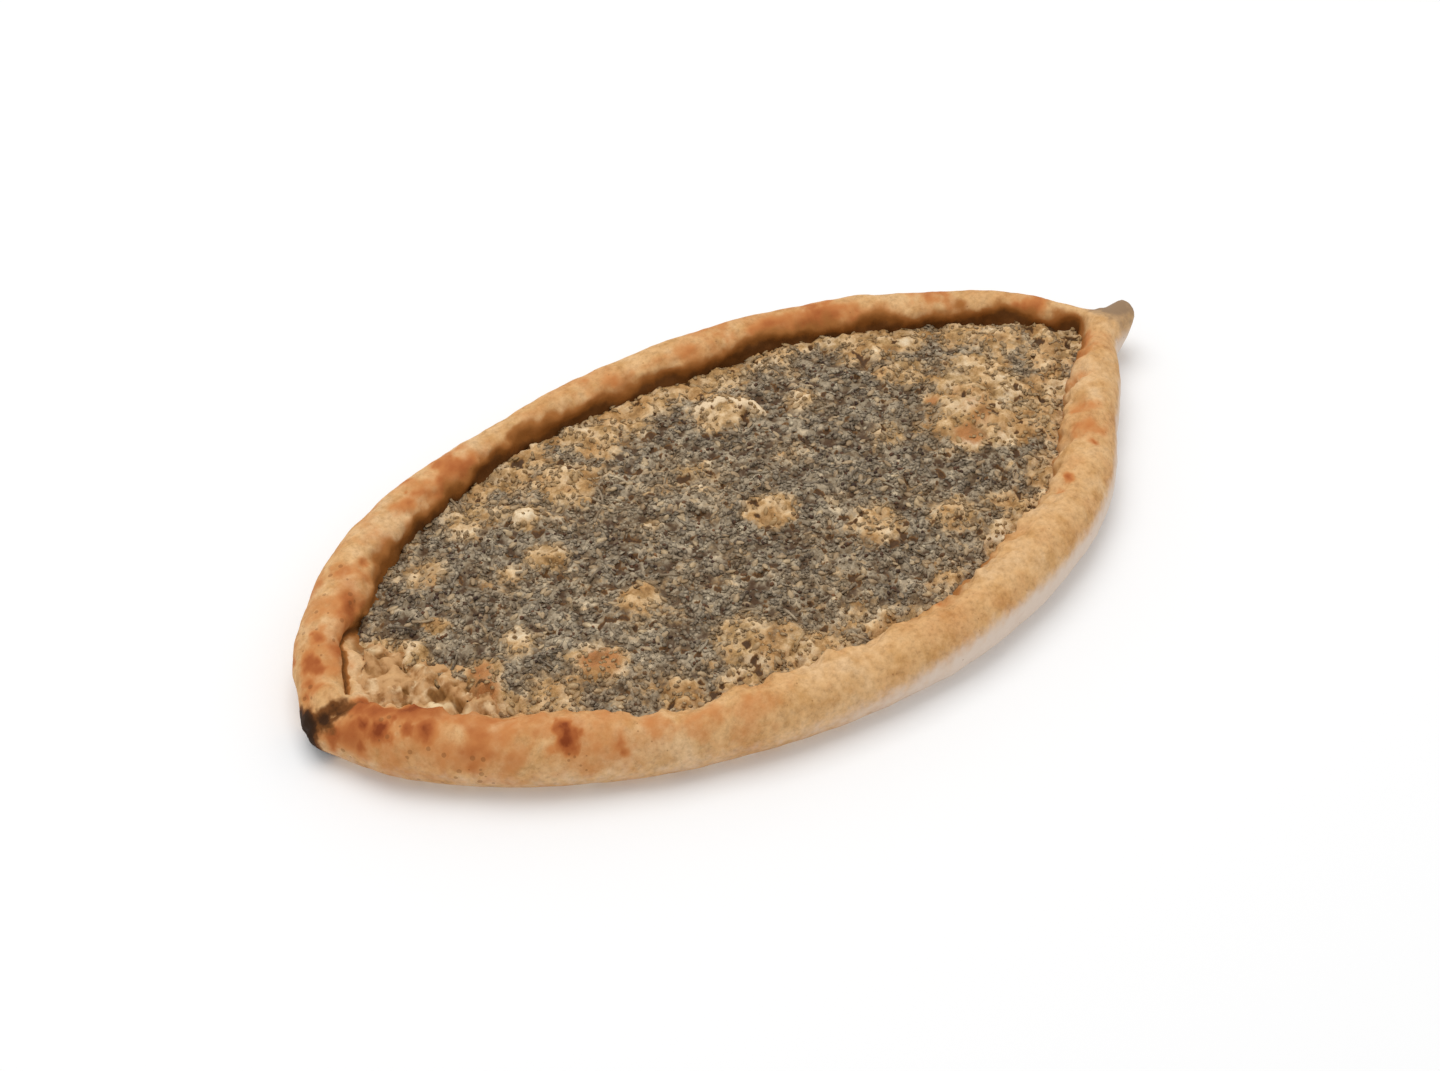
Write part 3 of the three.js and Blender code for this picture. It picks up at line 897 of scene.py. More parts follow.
def scatter_tree(name, shapes, material):
    """A node group that scatters a collection's shapes over the topping, thinly where the dough is bare."""
    tree = bpy.data.node_groups.new(name, "GeometryNodeTree")
    ports = tree.interface
    ports.new_socket("Surface", in_out="INPUT", socket_type="NodeSocketGeometry")
    for label in ("Density", "Smallest", "Largest", "Tilt", "Bare density"):
        ports.new_socket(label, in_out="INPUT", socket_type="NodeSocketFloat")
    ports.new_socket("Seed", in_out="INPUT", socket_type="NodeSocketInt")
    ports.new_socket("Scattered", in_out="OUTPUT", socket_type="NodeSocketGeometry")
    given = add(tree, "NodeGroupInput").outputs
    # Points lie on the topping's surface, fewer where the dough is bare.
    spread = add(tree, "GeometryNodeInputNamedAttribute", {"Name": "spread"}, data_type="FLOAT")
    bare = add(tree, "GeometryNodeInputNamedAttribute", {"Name": "bare"}, data_type="FLOAT")
    span = {"Value": bare.outputs["Attribute"], "From Min": 0.25, "From Max": 0.75, "To Min": 1.0}
    thinned = add(tree, "ShaderNodeMapRange", {**span, "To Max": given["Bare density"]})
    density = thinned.outputs["Result"]
    for factor in (spread.outputs["Attribute"], given["Density"]):
        density = add(tree, "ShaderNodeMath", {0: density, 1: factor}, operation="MULTIPLY").outputs[0]
    laid = {"Mesh": given["Surface"], "Density": density, "Seed": given["Seed"]}
    points = add(tree, "GeometryNodeDistributePointsOnFaces", laid, distribute_method="RANDOM")
    # Each copy is turned all the way round and tilted a little.
    tilt_back = add(tree, "ShaderNodeMath", {0: given["Tilt"], 1: -1.0}, operation="MULTIPLY")
    lowest = add(tree, "ShaderNodeCombineXYZ", {"X": tilt_back.outputs[0], "Y": tilt_back.outputs[0]})
    highest = add(tree, "ShaderNodeCombineXYZ", {"X": given["Tilt"], "Y": given["Tilt"], "Z": 2 * math.pi})
    seeds = []
    for step in (1.0, 2.0, 3.0):
        seeds.append(add(tree, "ShaderNodeMath", {0: given["Seed"], 1: step}, operation="ADD").outputs[0])
    span = {"Min": lowest.outputs[0], "Max": highest.outputs[0], "Seed": seeds[0]}
    angles = add(tree, "FunctionNodeRandomValue", span, data_type="FLOAT_VECTOR")
    turn = add(tree, "FunctionNodeEulerToRotation", {"Euler": angles.outputs["Value"]})
    turns = {"Rotation": points.outputs["Rotation"], "Rotate By": turn.outputs["Rotation"]}
    turned = add(tree, "FunctionNodeRotateRotation", turns, rotation_space="LOCAL")
    span = {2: given["Smallest"], 3: given["Largest"], "Seed": seeds[1]}
    size = add(tree, "FunctionNodeRandomValue", span, data_type="FLOAT")
    picked = {"Collection": shapes, "Separate Children": True, "Reset Children": True}
    variants = add(tree, "GeometryNodeCollectionInfo", picked)
    copies = {
        "Points": points.outputs["Points"],
        "Instance": variants.outputs["Instances"],
        "Pick Instance": True,
        "Rotation": turned.outputs["Rotation"],
        "Scale": size.outputs[1],
    }
    placed = add(tree, "GeometryNodeInstanceOnPoints", copies)
    # Each copy keeps a tint of its own for its material.
    tint = add(tree, "FunctionNodeRandomValue", {"Seed": seeds[2]}, data_type="FLOAT")
    marked = {"Geometry": placed.outputs["Instances"], "Name": "tint", "Value": tint.outputs[1]}
    kept = add(tree, "GeometryNodeStoreNamedAttribute", marked, data_type="FLOAT", domain="INSTANCE")
    real = add(tree, "GeometryNodeRealizeInstances", {"Geometry": kept.outputs["Geometry"]})
    finish = {"Geometry": real.outputs["Geometry"], "Material": material}
    dressed = add(tree, "GeometryNodeSetMaterial", finish)
    add(tree, "NodeGroupOutput", {"Scattered": dressed.outputs["Geometry"]})
    return tree


def scatter_values(number, scales, tilt, on_bare, seed):
    """A scattering's inputs: number per square centimetre, scales, tilt, share on bare dough, and seed."""
    return {
        "Density": number * PER_SQUARE_CM,
        "Smallest": scales[0],
        "Largest": scales[1],
        "Tilt": tilt,
        "Bare density": on_bare,
        "Seed": seed,
    }


def scattered(name, surface, meshes, material, values):
    """Copies of the meshes scattered over a surface, as one plain mesh object."""
    shapes = bpy.data.collections.new(name + "_shapes")
    for mesh in meshes:
        shapes.objects.link(bpy.data.objects.new(mesh.name, mesh))
    tree = scatter_tree(name + "_scatter", shapes, material)
    host = new_object(name + "_host", surface.data.copy())
    modifier = host.modifiers.new("Scatter", "NODES")
    modifier.node_group = tree
    sockets = {s.name: s.identifier for s in tree.interface.items_tree if s.in_out == "INPUT"}
    for label, value in values.items():
        modifier[sockets[label]] = value
    made = evaluated_mesh(host)
    host.modifiers.clear()
    drop(host)
    for helper in list(shapes.objects):
        drop(helper)
    bpy.data.collections.remove(shapes)
    bpy.data.node_groups.remove(tree)
    shade_smooth(made)
    return new_object(name, made, material)


def mesh_from(name, points, faces):
    """A mesh from points and faces, in metres."""
    mesh = bpy.data.meshes.new(name)
    mesh.from_pydata([tuple(p) for p in points], [], faces)
    mesh.update()
    return mesh


# Turns a number per square centimetre into one per square metre.
PER_SQUARE_CM = 1e4

# Length, width and thickness of a herb flake and of a sesame seed, length and width of a bit of stalk,
# and width of a sumac grain.
FLAKE_SIZE = (1.6 * MM, 0.95 * MM, 0.4 * MM)
SEED_SIZE = (2.6 * MM, 1.6 * MM, 0.8 * MM)
STALK_SIZE = (3.4 * MM, 0.45 * MM)
GRIT_SIZE = 1.0 * MM

# How many different shapes there are of each, and where each kind's random seeds start.
FLAKE_SHAPES, SEED_SHAPES, STALK_SHAPES, GRIT_SHAPES = 6, 5, 4, 4
FLAKE_SEED, SEED_SEED, GRIT_SEED, STALK_SEED = 100, 200, 300, 400

# How many sides a flake has.
FLAKE_SIDES = 6


def flake_shape(index, length, width, thickness):
    """A crushed leaf: a thin closed lens with a ragged outline, folded a little along its middle."""
    random = np.random.default_rng(FLAKE_SEED + index)
    turns = np.arange(FLAKE_SIDES) / FLAKE_SIDES * 2 * np.pi + random.uniform(-0.2, 0.2, FLAKE_SIDES)
    reach = random.uniform(0.85, 1.1, FLAKE_SIDES)
    x = np.cos(turns) * length / 2 * reach
    y = np.sin(turns) * width / 2 * reach
    z = (x / length) ** 2 * thickness * random.uniform(-2, 2) + np.abs(y / width) * thickness * 1.2
    rim = np.stack((x, y, z), axis=1)
    points = np.vstack((rim, [(0, 0, thickness * 0.6)], [(0, 0, -thickness * 0.4)]))
    faces = []
    for i in range(FLAKE_SIDES):
        j = (i + 1) % FLAKE_SIDES
        faces.append((i, j, FLAKE_SIDES))
        faces.append((j, i, FLAKE_SIDES + 1))
    return mesh_from(f"flake_{index}", points, faces)


# How many sides a seed has, and its rings: place along its length and width, as shares.
SEED_SIDES = 7
SEED_RINGS = [(-0.46, 0.42), (-0.2, 0.92), (0.12, 0.9), (0.38, 0.5)]


def seed_shape(index, length, width, thickness):
    """A sesame seed: a flattened drop, blunt at one end and pointed at the other."""
    random = np.random.default_rng(SEED_SEED + index)
    points = [(-length / 2, 0, 0)]
    for along, share in SEED_RINGS:
        for k in range(SEED_SIDES):
            turn = k / SEED_SIDES * 2 * np.pi
            swell = share * random.uniform(0.94, 1.06) / 2
            points.append((along * length, np.cos(turn) * width * swell, np.sin(turn) * thickness * swell))
    points.append((length * 0.56, 0, 0))
    faces = []
    for k in range(SEED_SIDES):
        after = (k + 1) % SEED_SIDES
        faces.append((0, 1 + after, 1 + k))
        for ring in range(len(SEED_RINGS) - 1):
            low, high = 1 + ring * SEED_SIDES, 1 + (ring + 1) * SEED_SIDES
            faces.append((low + k, low + after, high + after, high + k))
        last = 1 + (len(SEED_RINGS) - 1) * SEED_SIDES
        faces.append((last + k, last + after, len(points) - 1))
    mesh = mesh_from(f"seed_{index}", points, faces)
    shape = bmesh.new()
    shape.from_mesh(mesh)
    bmesh.ops.recalc_face_normals(shape, faces=shape.faces)
    shape.to_mesh(mesh)
    shape.free()
    shade_smooth(mesh)
    return mesh


def grit_shape(index, size):
    """A coarse angular grain with 20 faces."""
    random = np.random.default_rng(GRIT_SEED + index)
    mesh = bpy.data.meshes.new(f"grit_{index}")
    shape = bmesh.new()
    bmesh.ops.create_icosphere(shape, subdivisions=1, radius=size / 2)
    for vertex in shape.verts:
        vertex.co *= random.uniform(0.75, 1.3)
        vertex.co.z *= 0.7
    shape.to_mesh(mesh)
    shape.free()
    return mesh


def stalk_shape(index, length, width):
    """A broken bit of thyme stalk: a slightly bent four-sided rod with closed ends."""
    random = np.random.default_rng(STALK_SEED + index)
    bend = random.uniform(-0.12, 0.12) * length
    points = []
    for share in (0.0, 0.5, 1.0):
        half = width / 2 * (1 - 0.35 * share)
        for y, z in ((-1, -1), (1, -1), (1, 1), (-1, 1)):
            points.append(((share - 0.5) * length, bend * (1 - (2 * share - 1) ** 2) + y * half, z * half))
    faces = [(3, 2, 1, 0), (8, 9, 10, 11)]
    for ring in (0, 4):
        for k in range(4):
            faces.append((ring + k, ring + (k + 1) % 4, ring + 4 + (k + 1) % 4, ring + 4 + k))
    return mesh_from(f"stalk_{index}", points, faces)


# The crust's ripples, and the hollows that the oven's floor leaves underneath, each as size and depth.
RIPPLES = (6 * MM, 0.25 * MM)
HOLLOWS = (13 * MM, 0.5 * MM)

# The bare corner's dough: its lumps, its grain and its broad swells, each as size and height, and how
# deep its burst bubbles are.
CORNER_LUMPS = (4.4 * MM, 1.9 * MM)
CORNER_GRAIN = (2.6 * MM, 0.9 * MM)
CORNER_SWELLS = (9 * MM, 0.8 * MM)
CORNER_RISE = 0.1 * MM
BUBBLE_DEPTH = 0.9 * MM

# The topping's broad swells, and the lumps and grain of its bare dough, each as size and height.
TOPPING_SWELLS = (7 * MM, 0.5 * MM)
DOUGH_LUMPS = (4.6 * MM, 0.5 * MM)
DOUGH_GRAIN = (1.8 * MM, 0.45 * MM)

# How deep the topping's edge is tucked in, and how much further it reaches under the rim where the
# herbs lie thick.
EDGE_SINK = 0.3 * MM
THICK_GROW = 1.8 * MM

# The topping's underside: grid steps between its points, and how far in and how far above the dough they are.
UNDERSIDE_STRIDE = 8
UNDERSIDE_INSET = 2 * MM
UNDERSIDE_LIFT = 0.1 * MM

# The studio: a floor just under the loaf, clear to light that leaves the loaf this close to it, a square
# lamp overhead, and a camera that looks at the middle of the loaf.
FLOOR_SIZE = 12.0
FLOOR_DROP = 0.05 * MM
CLOSE_TO_FLOOR = 1.5 * MM
SOFTBOX_PLACE = (0.03, 0.3, 1.15)
SOFTBOX_WIDTH = 0.9
CAMERA_AIM = (0.85 * MM, 3.42 * MM, 0)
SENSOR_WIDTH_MM = 36.0
FOCAL_LENGTH_MM = 68.935
CAMERA_SHIFT = (-0.0224, -0.0024)

# Settings


class CrustSettings(bpy.types.PropertyGroup):
    """Sizes and colours of the baked dough."""

    mesh_size: FloatProperty(
        name="Mesh size", description="Side of the squares that the crust is rebuilt in",
        default=0.9 * MM, min=0.4 * MM, unit="LENGTH", precision=5,
    )
    relax_rounds: IntProperty(
        name="Smoothing", description="How many times the crust's points are averaged", default=20, min=0
    )
    swell: FloatProperty(
        name="Swell", description="How far the crust is pushed out after smoothing",
        default=0.35 * MM, unit="LENGTH", precision=5,
    )
    unevenness: FloatProperty(
        name="Unevenness", description="Depth of the finger-pressed waves in the crust",
        default=0.55 * MM, unit="LENGTH", precision=5,
    )
    raggedness: FloatProperty(
        name="Raggedness", description="Depth of the torn lumps along the rim's inner side",
        default=1.3 * MM, unit="LENGTH", precision=5,
    )
    crevice_depth: FloatProperty(
        name="Crevice depth", description="How far the rim is undercut where it meets the topping",
        default=0.8 * MM, unit="LENGTH", precision=5,
    )
    crust_colour: FloatVectorProperty(
        name="Crust", description="Golden colour of the plain crust",
        subtype="COLOR", size=3, min=0, max=1, default=linear("#e3b782")[:3],
    )
    toast_colour: FloatVectorProperty(
        name="Toast", description="Colour of the toasted spots",
        subtype="COLOR", size=3, min=0, max=1, default=linear("#a3592b")[:3],
    )
    # The flour colour also stands in for painted shade and floor bounce light on the low outer side.
    flour_and_shade_colour: FloatVectorProperty(
        name="Flour", description="Colour of the floury lower side",
        subtype="COLOR", size=3, min=0, max=1, default=linear("#dac8b8")[:3],
    )
    char_colour: FloatVectorProperty(
        name="Char", description="Colour of the burnt tip",
        subtype="COLOR", size=3, min=0, max=1, default=linear("#2e1a08")[:3],
    )


class ToppingSettings(bpy.types.PropertyGroup):
    """Sizes and colours of the zaatar layer."""

    edge_grow: FloatProperty(
        name="Edge growth", description="How far the topping runs in under the rim",
        default=2 * MM, unit="LENGTH", precision=5,
    )
    edge_run: FloatProperty(
        name="Edge run", description="Distance over which the topping rises from its edge",
        default=1.8 * MM, unit="LENGTH", precision=5,
    )
    pit_size: FloatProperty(
        name="Pit size", description="Size of the noise that the dark pits are the lowest parts of",
        default=3.2 * MM, unit="LENGTH", precision=5,
    )
    pit_depth: FloatProperty(
        name="Pit depth", description="Depth of the dark pits in the topping",
        default=0.4 * MM, unit="LENGTH", precision=5,
    )
    grain_size: FloatProperty(
        name="Grain size", description="Size of the crumbs in the topping's relief",
        default=2.6 * MM, unit="LENGTH", precision=5,
    )
    grain_depth: FloatProperty(
        name="Grain depth", description="Height of the crumbs in the topping's relief",
        default=0.85 * MM, unit="LENGTH", precision=5,
    )
    paste_colour: FloatVectorProperty(
        name="Paste", description="Middle colour of the herb paste",
        subtype="COLOR", size=3, min=0, max=1, default=linear("#95856c")[:3],
    )
    dough_colour: FloatVectorProperty(
        name="Bare dough", description="Colour of the dough where it shows through",
        subtype="COLOR", size=3, min=0, max=1, default=linear("#dfbf93")[:3],
    )


class ScatterSettings(bpy.types.PropertyGroup):
    """How many herbs and seeds lie on the topping."""

    flakes: FloatProperty(
        name="Herb flakes", description="Herb flakes per square centimetre", default=78, min=0
    )
    seeds: FloatProperty(
        name="Sesame seeds", description="Sesame seeds per square centimetre", default=4.5, min=0
    )
    grit: FloatProperty(
        name="Sumac grains", description="Sumac and herb grains per square centimetre", default=14, min=0
    )
    stalks: FloatProperty(
        name="Stalk bits", description="Bits of stalk per square centimetre", default=2.0, min=0
    )
    seed: IntProperty(name="Seed", description="Seed of the scattering", default=11)


class StageSettings(bpy.types.PropertyGroup):
    """The plain studio."""

    floor_colour: FloatVectorProperty(
        name="Floor", description="Colour of the floor",
        subtype="COLOR", size=3, min=0, max=1, default=linear("#f2f2f2")[:3],
    )
    sky_colour: FloatVectorProperty(
        name="Sky colour", description="Colour of the even light all round",
        subtype="COLOR", size=3, min=0, max=1, default=linear("#f6f6f6")[:3],
    )
    sky: FloatProperty(name="Sky", description="Strength of the even light all round", default=0.82, min=0)
    key: FloatProperty(
        name="Key", description="Power of the large soft lamp overhead", default=7.0, min=0, unit="POWER"
    )
    elevation: FloatProperty(
        name="Elevation", description="Height of the camera above the horizon",
        subtype="ANGLE", default=math.radians(41.5),
    )
    azimuth: FloatProperty(
        name="Azimuth", description="Turn of the camera round the loaf",
        subtype="ANGLE", default=math.radians(-36.79),
    )
    distance: FloatProperty(
        name="Distance", description="Distance of the camera from the loaf", default=0.6509, unit="LENGTH"
    )


class CrustZones:
    """Where each feature of the crust lies, from 0 to 1 at each point. Lengths here are in millimetres."""

    def __init__(self, facts, points, normals):
        self.x, self.y, self.z = points.T / MM
        self.spread = facts.at("spread_depth", points) / MM
        self.over_corner = facts.at("corner", points)
        self.corner = self.over_corner * eased(self.z, 10.8, 8.8) * eased(self.z, 3, 5)
        self.facing = facts.facing("inward", points, normals)
        self.above, self.under = eased(self.z, 0, 2.5), eased(self.z, 0.6, 0.1)
        inside = eased(facts.at("loaf_depth", points) / MM, 6, 10)
        self.inner_side = eased(self.facing, -0.1, 0.4) * inside
        self.crevice = self.undercut(facts, points, normals)
        seen_from_above = [(x, y, 0) for x, y, _ in CREASE]
        away = from_path(points * (1, 1, 0), seen_from_above) / MM
        self.crease = eased(away, CREASE_HALF_WIDTH, 0) * eased(self.z, 14.5, 12.5) * self.above
        # The bare corner is lumpy and blistered, with creases between the lumps and small burst bubbles.
        self.lumps = doughy(points, CORNER_LUMPS[0], 14)
        self.lumpy = (0.25 + 0.75 * eased(self.spread, -11, -4)) * eased(self.spread, 0.5, -3)
        bubbles = grains(points, CORNER_LUMPS[0], 6, BUBBLE_REACH) + 0.1 * wander(points, 1.5 * MM, 13, 2)
        self.holes = eased(bubbles, 0.8, 0.9) * self.corner
        self.dents = near_spots(points, DENTS)

    def undercut(self, facts, points, normals):
        """The hollow in the rim's inner wall, from the topping up to where the rim turns over: undercut, and
        painted dark, mostly as shade and partly as oil browning.
        """
        wall = eased(facts.facing("toward", points, normals), 0, 0.4)
        wall *= eased(self.z, 4.5, 6) * eased(self.spread, -7, -4) * (1 - 0.8 * self.over_corner)
        # It is deepest along the far rim, highest a little right of the middle, and fainter by the left tip.
        far_rim = 0.3 + 0.7 * eased(-normals[:, 1] - 0.15 * normals[:, 0], 0, 0.45)
        top = 8.9 + 2.4 * wander(points, 8 * MM, 3) + 1.3 * eased(abs(self.x - 28), 36, 0)
        return wall * far_rim * eased(self.z - top, 5.2, 0) * (0.5 + 0.5 * eased(self.x, -92, -62))


# Operators


class FLATBREAD_OT_crust(bpy.types.Operator):
    """Make the baked dough with its rolled rim, toasted spots and burnt tip"""

    bl_idname = "flatbread.crust"
    bl_label = "Bake the crust"

    def execute(self, context):
        settings = context.scene.flatbread_crust
        facts = loaf()
        mesh = remeshed(facts.bread.copy(), settings.mesh_size)
        crisp, soft = relaxed(mesh, TAIL_ROUNDS), relaxed(mesh, settings.relax_rounds)
        set_points(mesh, soft + (crisp - soft) * eased(soft[:, :1] / MM, *TAIL_STRETCH))
        points = points_of(mesh) + normals_of(mesh) * settings.swell
        set_points(mesh, points)
        normals = normals_of(mesh)
        zones = CrustZones(facts, points, normals)
        push = self.relief(points, zones, settings) * (1 - zones.under)
        # The underside is flat with shallow hollows from the oven's floor.
        hollows = np.maximum(heights(points, HOLLOWS, 5), 0)
        points = points + normals * push[:, None]
        points[:, 2] = np.maximum(points[:, 2] * (1 - zones.under) + zones.under * hollows, 0)
        set_points(mesh, points)
        for name, values in self.shares(points, zones).items():
            store(mesh, name, values)
        shade_smooth(mesh)
        piece = new_object("baked_dough", mesh, toasted_crust(settings))
        finish_piece(piece, BREAD)
        return {"FINISHED"}

    @staticmethod
    def relief(points, zones, settings):
        """How far each point of the crust is pushed out, in metres."""
        push = settings.unevenness * wander(points, 17 * MM, 1, 2) * zones.above
        push += heights(points, RIPPLES, 2) * zones.above
        # The rim's inner side is torn into small lumps, most along its near half.
        torn = wander(points, 5.5 * MM, 4) + 0.6 * wander(points, 2.6 * MM, 16)
        nearer = 0.5 + 0.5 * eased(zones.y, 30, -10)
        push += settings.raggedness * zones.inner_side * torn * zones.above * nearer
        push -= settings.crevice_depth * zones.crevice
        # The bare corner's lumps fade out where the topping covers them.
        rough = CORNER_LUMPS[1] * zones.lumps * zones.lumpy + CORNER_RISE
        rough += heights(points, CORNER_GRAIN, 7) + heights(points, CORNER_SWELLS, 17, 2)
        push += zones.corner * rough * eased(zones.spread, 1, -3) - BUBBLE_DEPTH * zones.holes
        for lump in LUMPS:
            push += near_spots(points, [lump]) * MM
        push -= zones.dents * MM
        push -= CLEFT_DEPTH * MM * eased(from_path(points, CLEFT) / MM, CLEFT_HALF_WIDTH, 0)
        return push - CREASE_DEPTH * MM * zones.crease

    def shares(self, points, zones):
        """How strong each of the crust's colours is at each point."""
        corner, bubble_free = zones.corner, 1 - zones.holes
        ragged = 0.45 * wander(points, 4 * MM, 10, 4) + 0.4 * wander(points, 10 * MM, 18)
        pale_corner = 1 - 0.85 * eased(zones.over_corner, 0, 0.625) * eased(zones.z, 14, 11)
        toast = np.maximum(near_spots(points, TOASTED, ragged), self.toast_and_wall_shade(points, zones) * pale_corner)
        # Clefts between the lumps, burst bubbles and dents are painted darker, as shade.
        cleft_shade = eased(0.5 * wander(points, 2.2 * MM, 19, 2) - zones.lumps, -0.3, 0.8) * zones.lumpy
        shaded_hollows = np.maximum.reduce((cleft_shade, zones.holes, eased(zones.dents, 0, 0.6)))
        # Flour clings low on the outer side, most on the near right, and to the underside; the low outer side
        # is also greyed as painted shade and bounce light from the floor.
        right = eased(zones.x, -45, 25) * eased(zones.y, 30, -10)
        low_side = eased(zones.z - 2.5 * right, 11.5, 4.5) * eased(-zones.facing, 0, 0.4)
        floury = low_side * (0.3 + 0.7 * right) + zones.under * 0.5
        sparse = eased(wander(points, 7 * MM, 12, 2), -0.15, 0.15)
        return {
            "toast": toast * (1 - near_spots(points, PALE, ragged)),
            "soaked": corner,
            "fold": corner * shaded_hollows,
            # Painted shade, partly oil browning, in the hollow under the rim and the crease by the corner.
            "crevice": np.maximum(zones.crevice, eased(zones.crease, 0.45, 0.95) * 0.95),
            # Pale crumb with a painted highlight on the crowns of the corner's lumps.
            "cream": near_spots(points, CREAMY, ragged) * bubble_free,
            "char": near_spots(points, CHARRED, ragged * 0.5),
            "tail": near_spots(points, [(*TAIL_END, TAIL_REACH, 1.0)]),
            "flour": np.clip(np.maximum(floury, 0.3 * corner * bubble_free), 0, 1),
            "specks": (0.35 + 0.65 * eased(zones.x, -70, -95)) * sparse * (1 - zones.under),
        }

    @staticmethod
    def toast_and_wall_shade(points, zones):
        """Toasting that follows the shape: the left third, the far rim's inner side, and spots underneath;
        the far rim's inner side is darkened partly as painted shade.
        """
        x, y, z = points.T / MM
        near = eased(y, 14, -16)
        left = eased(x, -48, -96) * (0.2 + 0.8 * near)
        far = eased(y - 0.25 * x, 5, 30)
        inner = eased(zones.facing, -0.15, 0.45)
        drift = wander(points, 12 * MM, 8, 4)
        sides = left * (0.5 + 0.1 * near + 0.5 * drift)
        # The far rim's inner side is darkened here partly as painted shade.
        sides += far * inner * (0.34 + 0.4 * drift) + far * (0.08 + 0.3 * drift)
        oven_spots = zones.under * eased(wander(points, 9 * MM, 9), -0.1, 0.8) * 0.6
        return np.clip(eased(z, 4, 9) * sides, 0, 1) + oven_spots


class FLATBREAD_OT_topping(bpy.types.Operator):
    """Make the baked zaatar layer with its grains, blisters and bare places"""

    bl_idname = "flatbread.topping"
    bl_label = "Spread the zaatar"

    def execute(self, context):
        settings = context.scene.flatbread_topping
        facts = loaf()
        mask, faces = covered_squares(facts.spread_depth > -settings.edge_grow - THICK_GROW)
        flat = np.stack((facts.plan.x[mask], facts.plan.y[mask], np.zeros(mask.sum())), axis=1)
        floor, depth, corner = (field[mask] for field in (facts.floor, facts.spread_depth, facts.corner))
        fields = self.fields(flat, depth / MM, corner)
        bare = fields["bare"]
        grown = settings.edge_grow + THICK_GROW * fields["thick"]
        rise = smooth((depth + grown + fields["ragged"]) / settings.edge_run)
        body = (facts.top[mask] - floor) * rise * (1 - 0.75 * corner) - EDGE_SINK * (1 - rise)
        relief = smooth(0.5 + 0.8 * wander(flat, settings.grain_size, 2, 4))
        dough = eased(bare, 0.15, 0.65)
        bumps = settings.grain_depth * (relief - 0.5) * (1 - 0.15 * dough)
        bumps += heights(flat, TOPPING_SWELLS, 21) * (1 + bare)
        # Bare dough rises in rounded lumps with creases between them.
        lumps = doughy(flat, DOUGH_LUMPS[0], 26)
        bumps += (DOUGH_LUMPS[1] * lumps + heights(flat, DOUGH_GRAIN, 27, 2)) * dough
        pit_core = wander(flat, settings.pit_size, 5, 2)
        pit, pit_zone = eased(pit_core, -0.5, -0.64), eased(pit_core, -0.42, -0.56)
        bumps -= settings.pit_depth * pit
        flat[:, 2] = floor + body + (bumps + fields["lift"]) * rise
        mesh = self.closed_mesh(facts, flat, faces)
        # Herbs lie on the raised crumbs and on bare dough, not in the pits or on the topping's edge.
        crumbs = np.maximum(dough, 0.4 + 0.6 * eased(relief, 0.04, 0.34))
        # The pits, the creases between the dough's lumps and the low relief are painted darker in the
        # material, as shade.
        shares = {
            "bare": bare,
            "toast": fields["toast"],
            "torn": fields["torn"],
            "pit": pit,
            "fold": 0.5 * dough * eased(lumps, -0.25, -0.95),
            "relief": np.maximum(relief, 0.42 * dough),
            "spread": eased(rise, 0.35, 0.65) * (1 - pit_zone) * crumbs,
        }
        underside = np.zeros(len(mesh.vertices) - len(flat))
        for name, values in shares.items():
            store(mesh, name, np.concatenate((values, underside)))
        shade_smooth(mesh)
        piece = new_object("zaatar_layer", mesh, herb_paste(settings))
        finish_piece(piece, TOPPING)
        return {"FINISHED"}

    @staticmethod
    def fields(flat, depth, corner):
        """Where the topping is thick, bare, toasted, torn, lifted and ragged. Its depth is in millimetres."""
        x, y, _ = flat.T / MM
        drift = wander(flat, 11 * MM, 31, 4)
        ridge = from_path(flat, [(*place, 0) for place in TORN_RIDGE]) / MM
        torn = eased(ridge + 1.1 * wander(flat, 2.5 * MM, 33, 2), TORN_HALF_WIDTH, 0)
        # The layer thins out towards its edge, least at the left, and most beside the bare corner.
        edge_band = eased(depth, 17, 0) * (0.35 + 0.65 * eased(x, -82, -42))
        bare = 0.14 + 0.38 * edge_band + 0.75 * drift * (0.4 + edge_band)
        beside = 1.1 * smooth(corner * 1.5 - 0.4 + 0.6 * wander(flat, 5 * MM, 34))
        bare = np.maximum(bare, beside * eased(depth, 7.2, 1.2))
        thick, toast = np.zeros(len(flat)), np.zeros(len(flat))
        for place_x, place_y, radius, share in THICK:
            away = np.hypot(x - place_x, y - place_y) / radius
            thick = np.maximum(thick, share * smooth(1.4 - away - 0.4 * drift))
        bare *= 1 - 0.8 * thick
        lift = TORN_HEIGHT * torn
        for place_x, place_y, radius, height, share, toasted in PATCHES:
            away = np.hypot(x - place_x, y - place_y) / radius
            bare = np.maximum(bare, share * smooth(1.45 - away - 0.45 * drift))
            toast = np.maximum(toast, toasted * smooth(1.2 - away - 0.4 * drift))
            lift = np.maximum(lift, 1.3 * height * smooth(1.2 - away))
        return {
            "thick": thick,
            "bare": np.clip(np.maximum(bare, torn), 0, 1),
            "toast": np.clip(toast * (1 - torn), 0, 1),
            "torn": torn,
            "lift": lift * MM,
            "ragged": MM * wander(flat, 4 * MM, 32) * (0.5 + 2 * corner),
        }

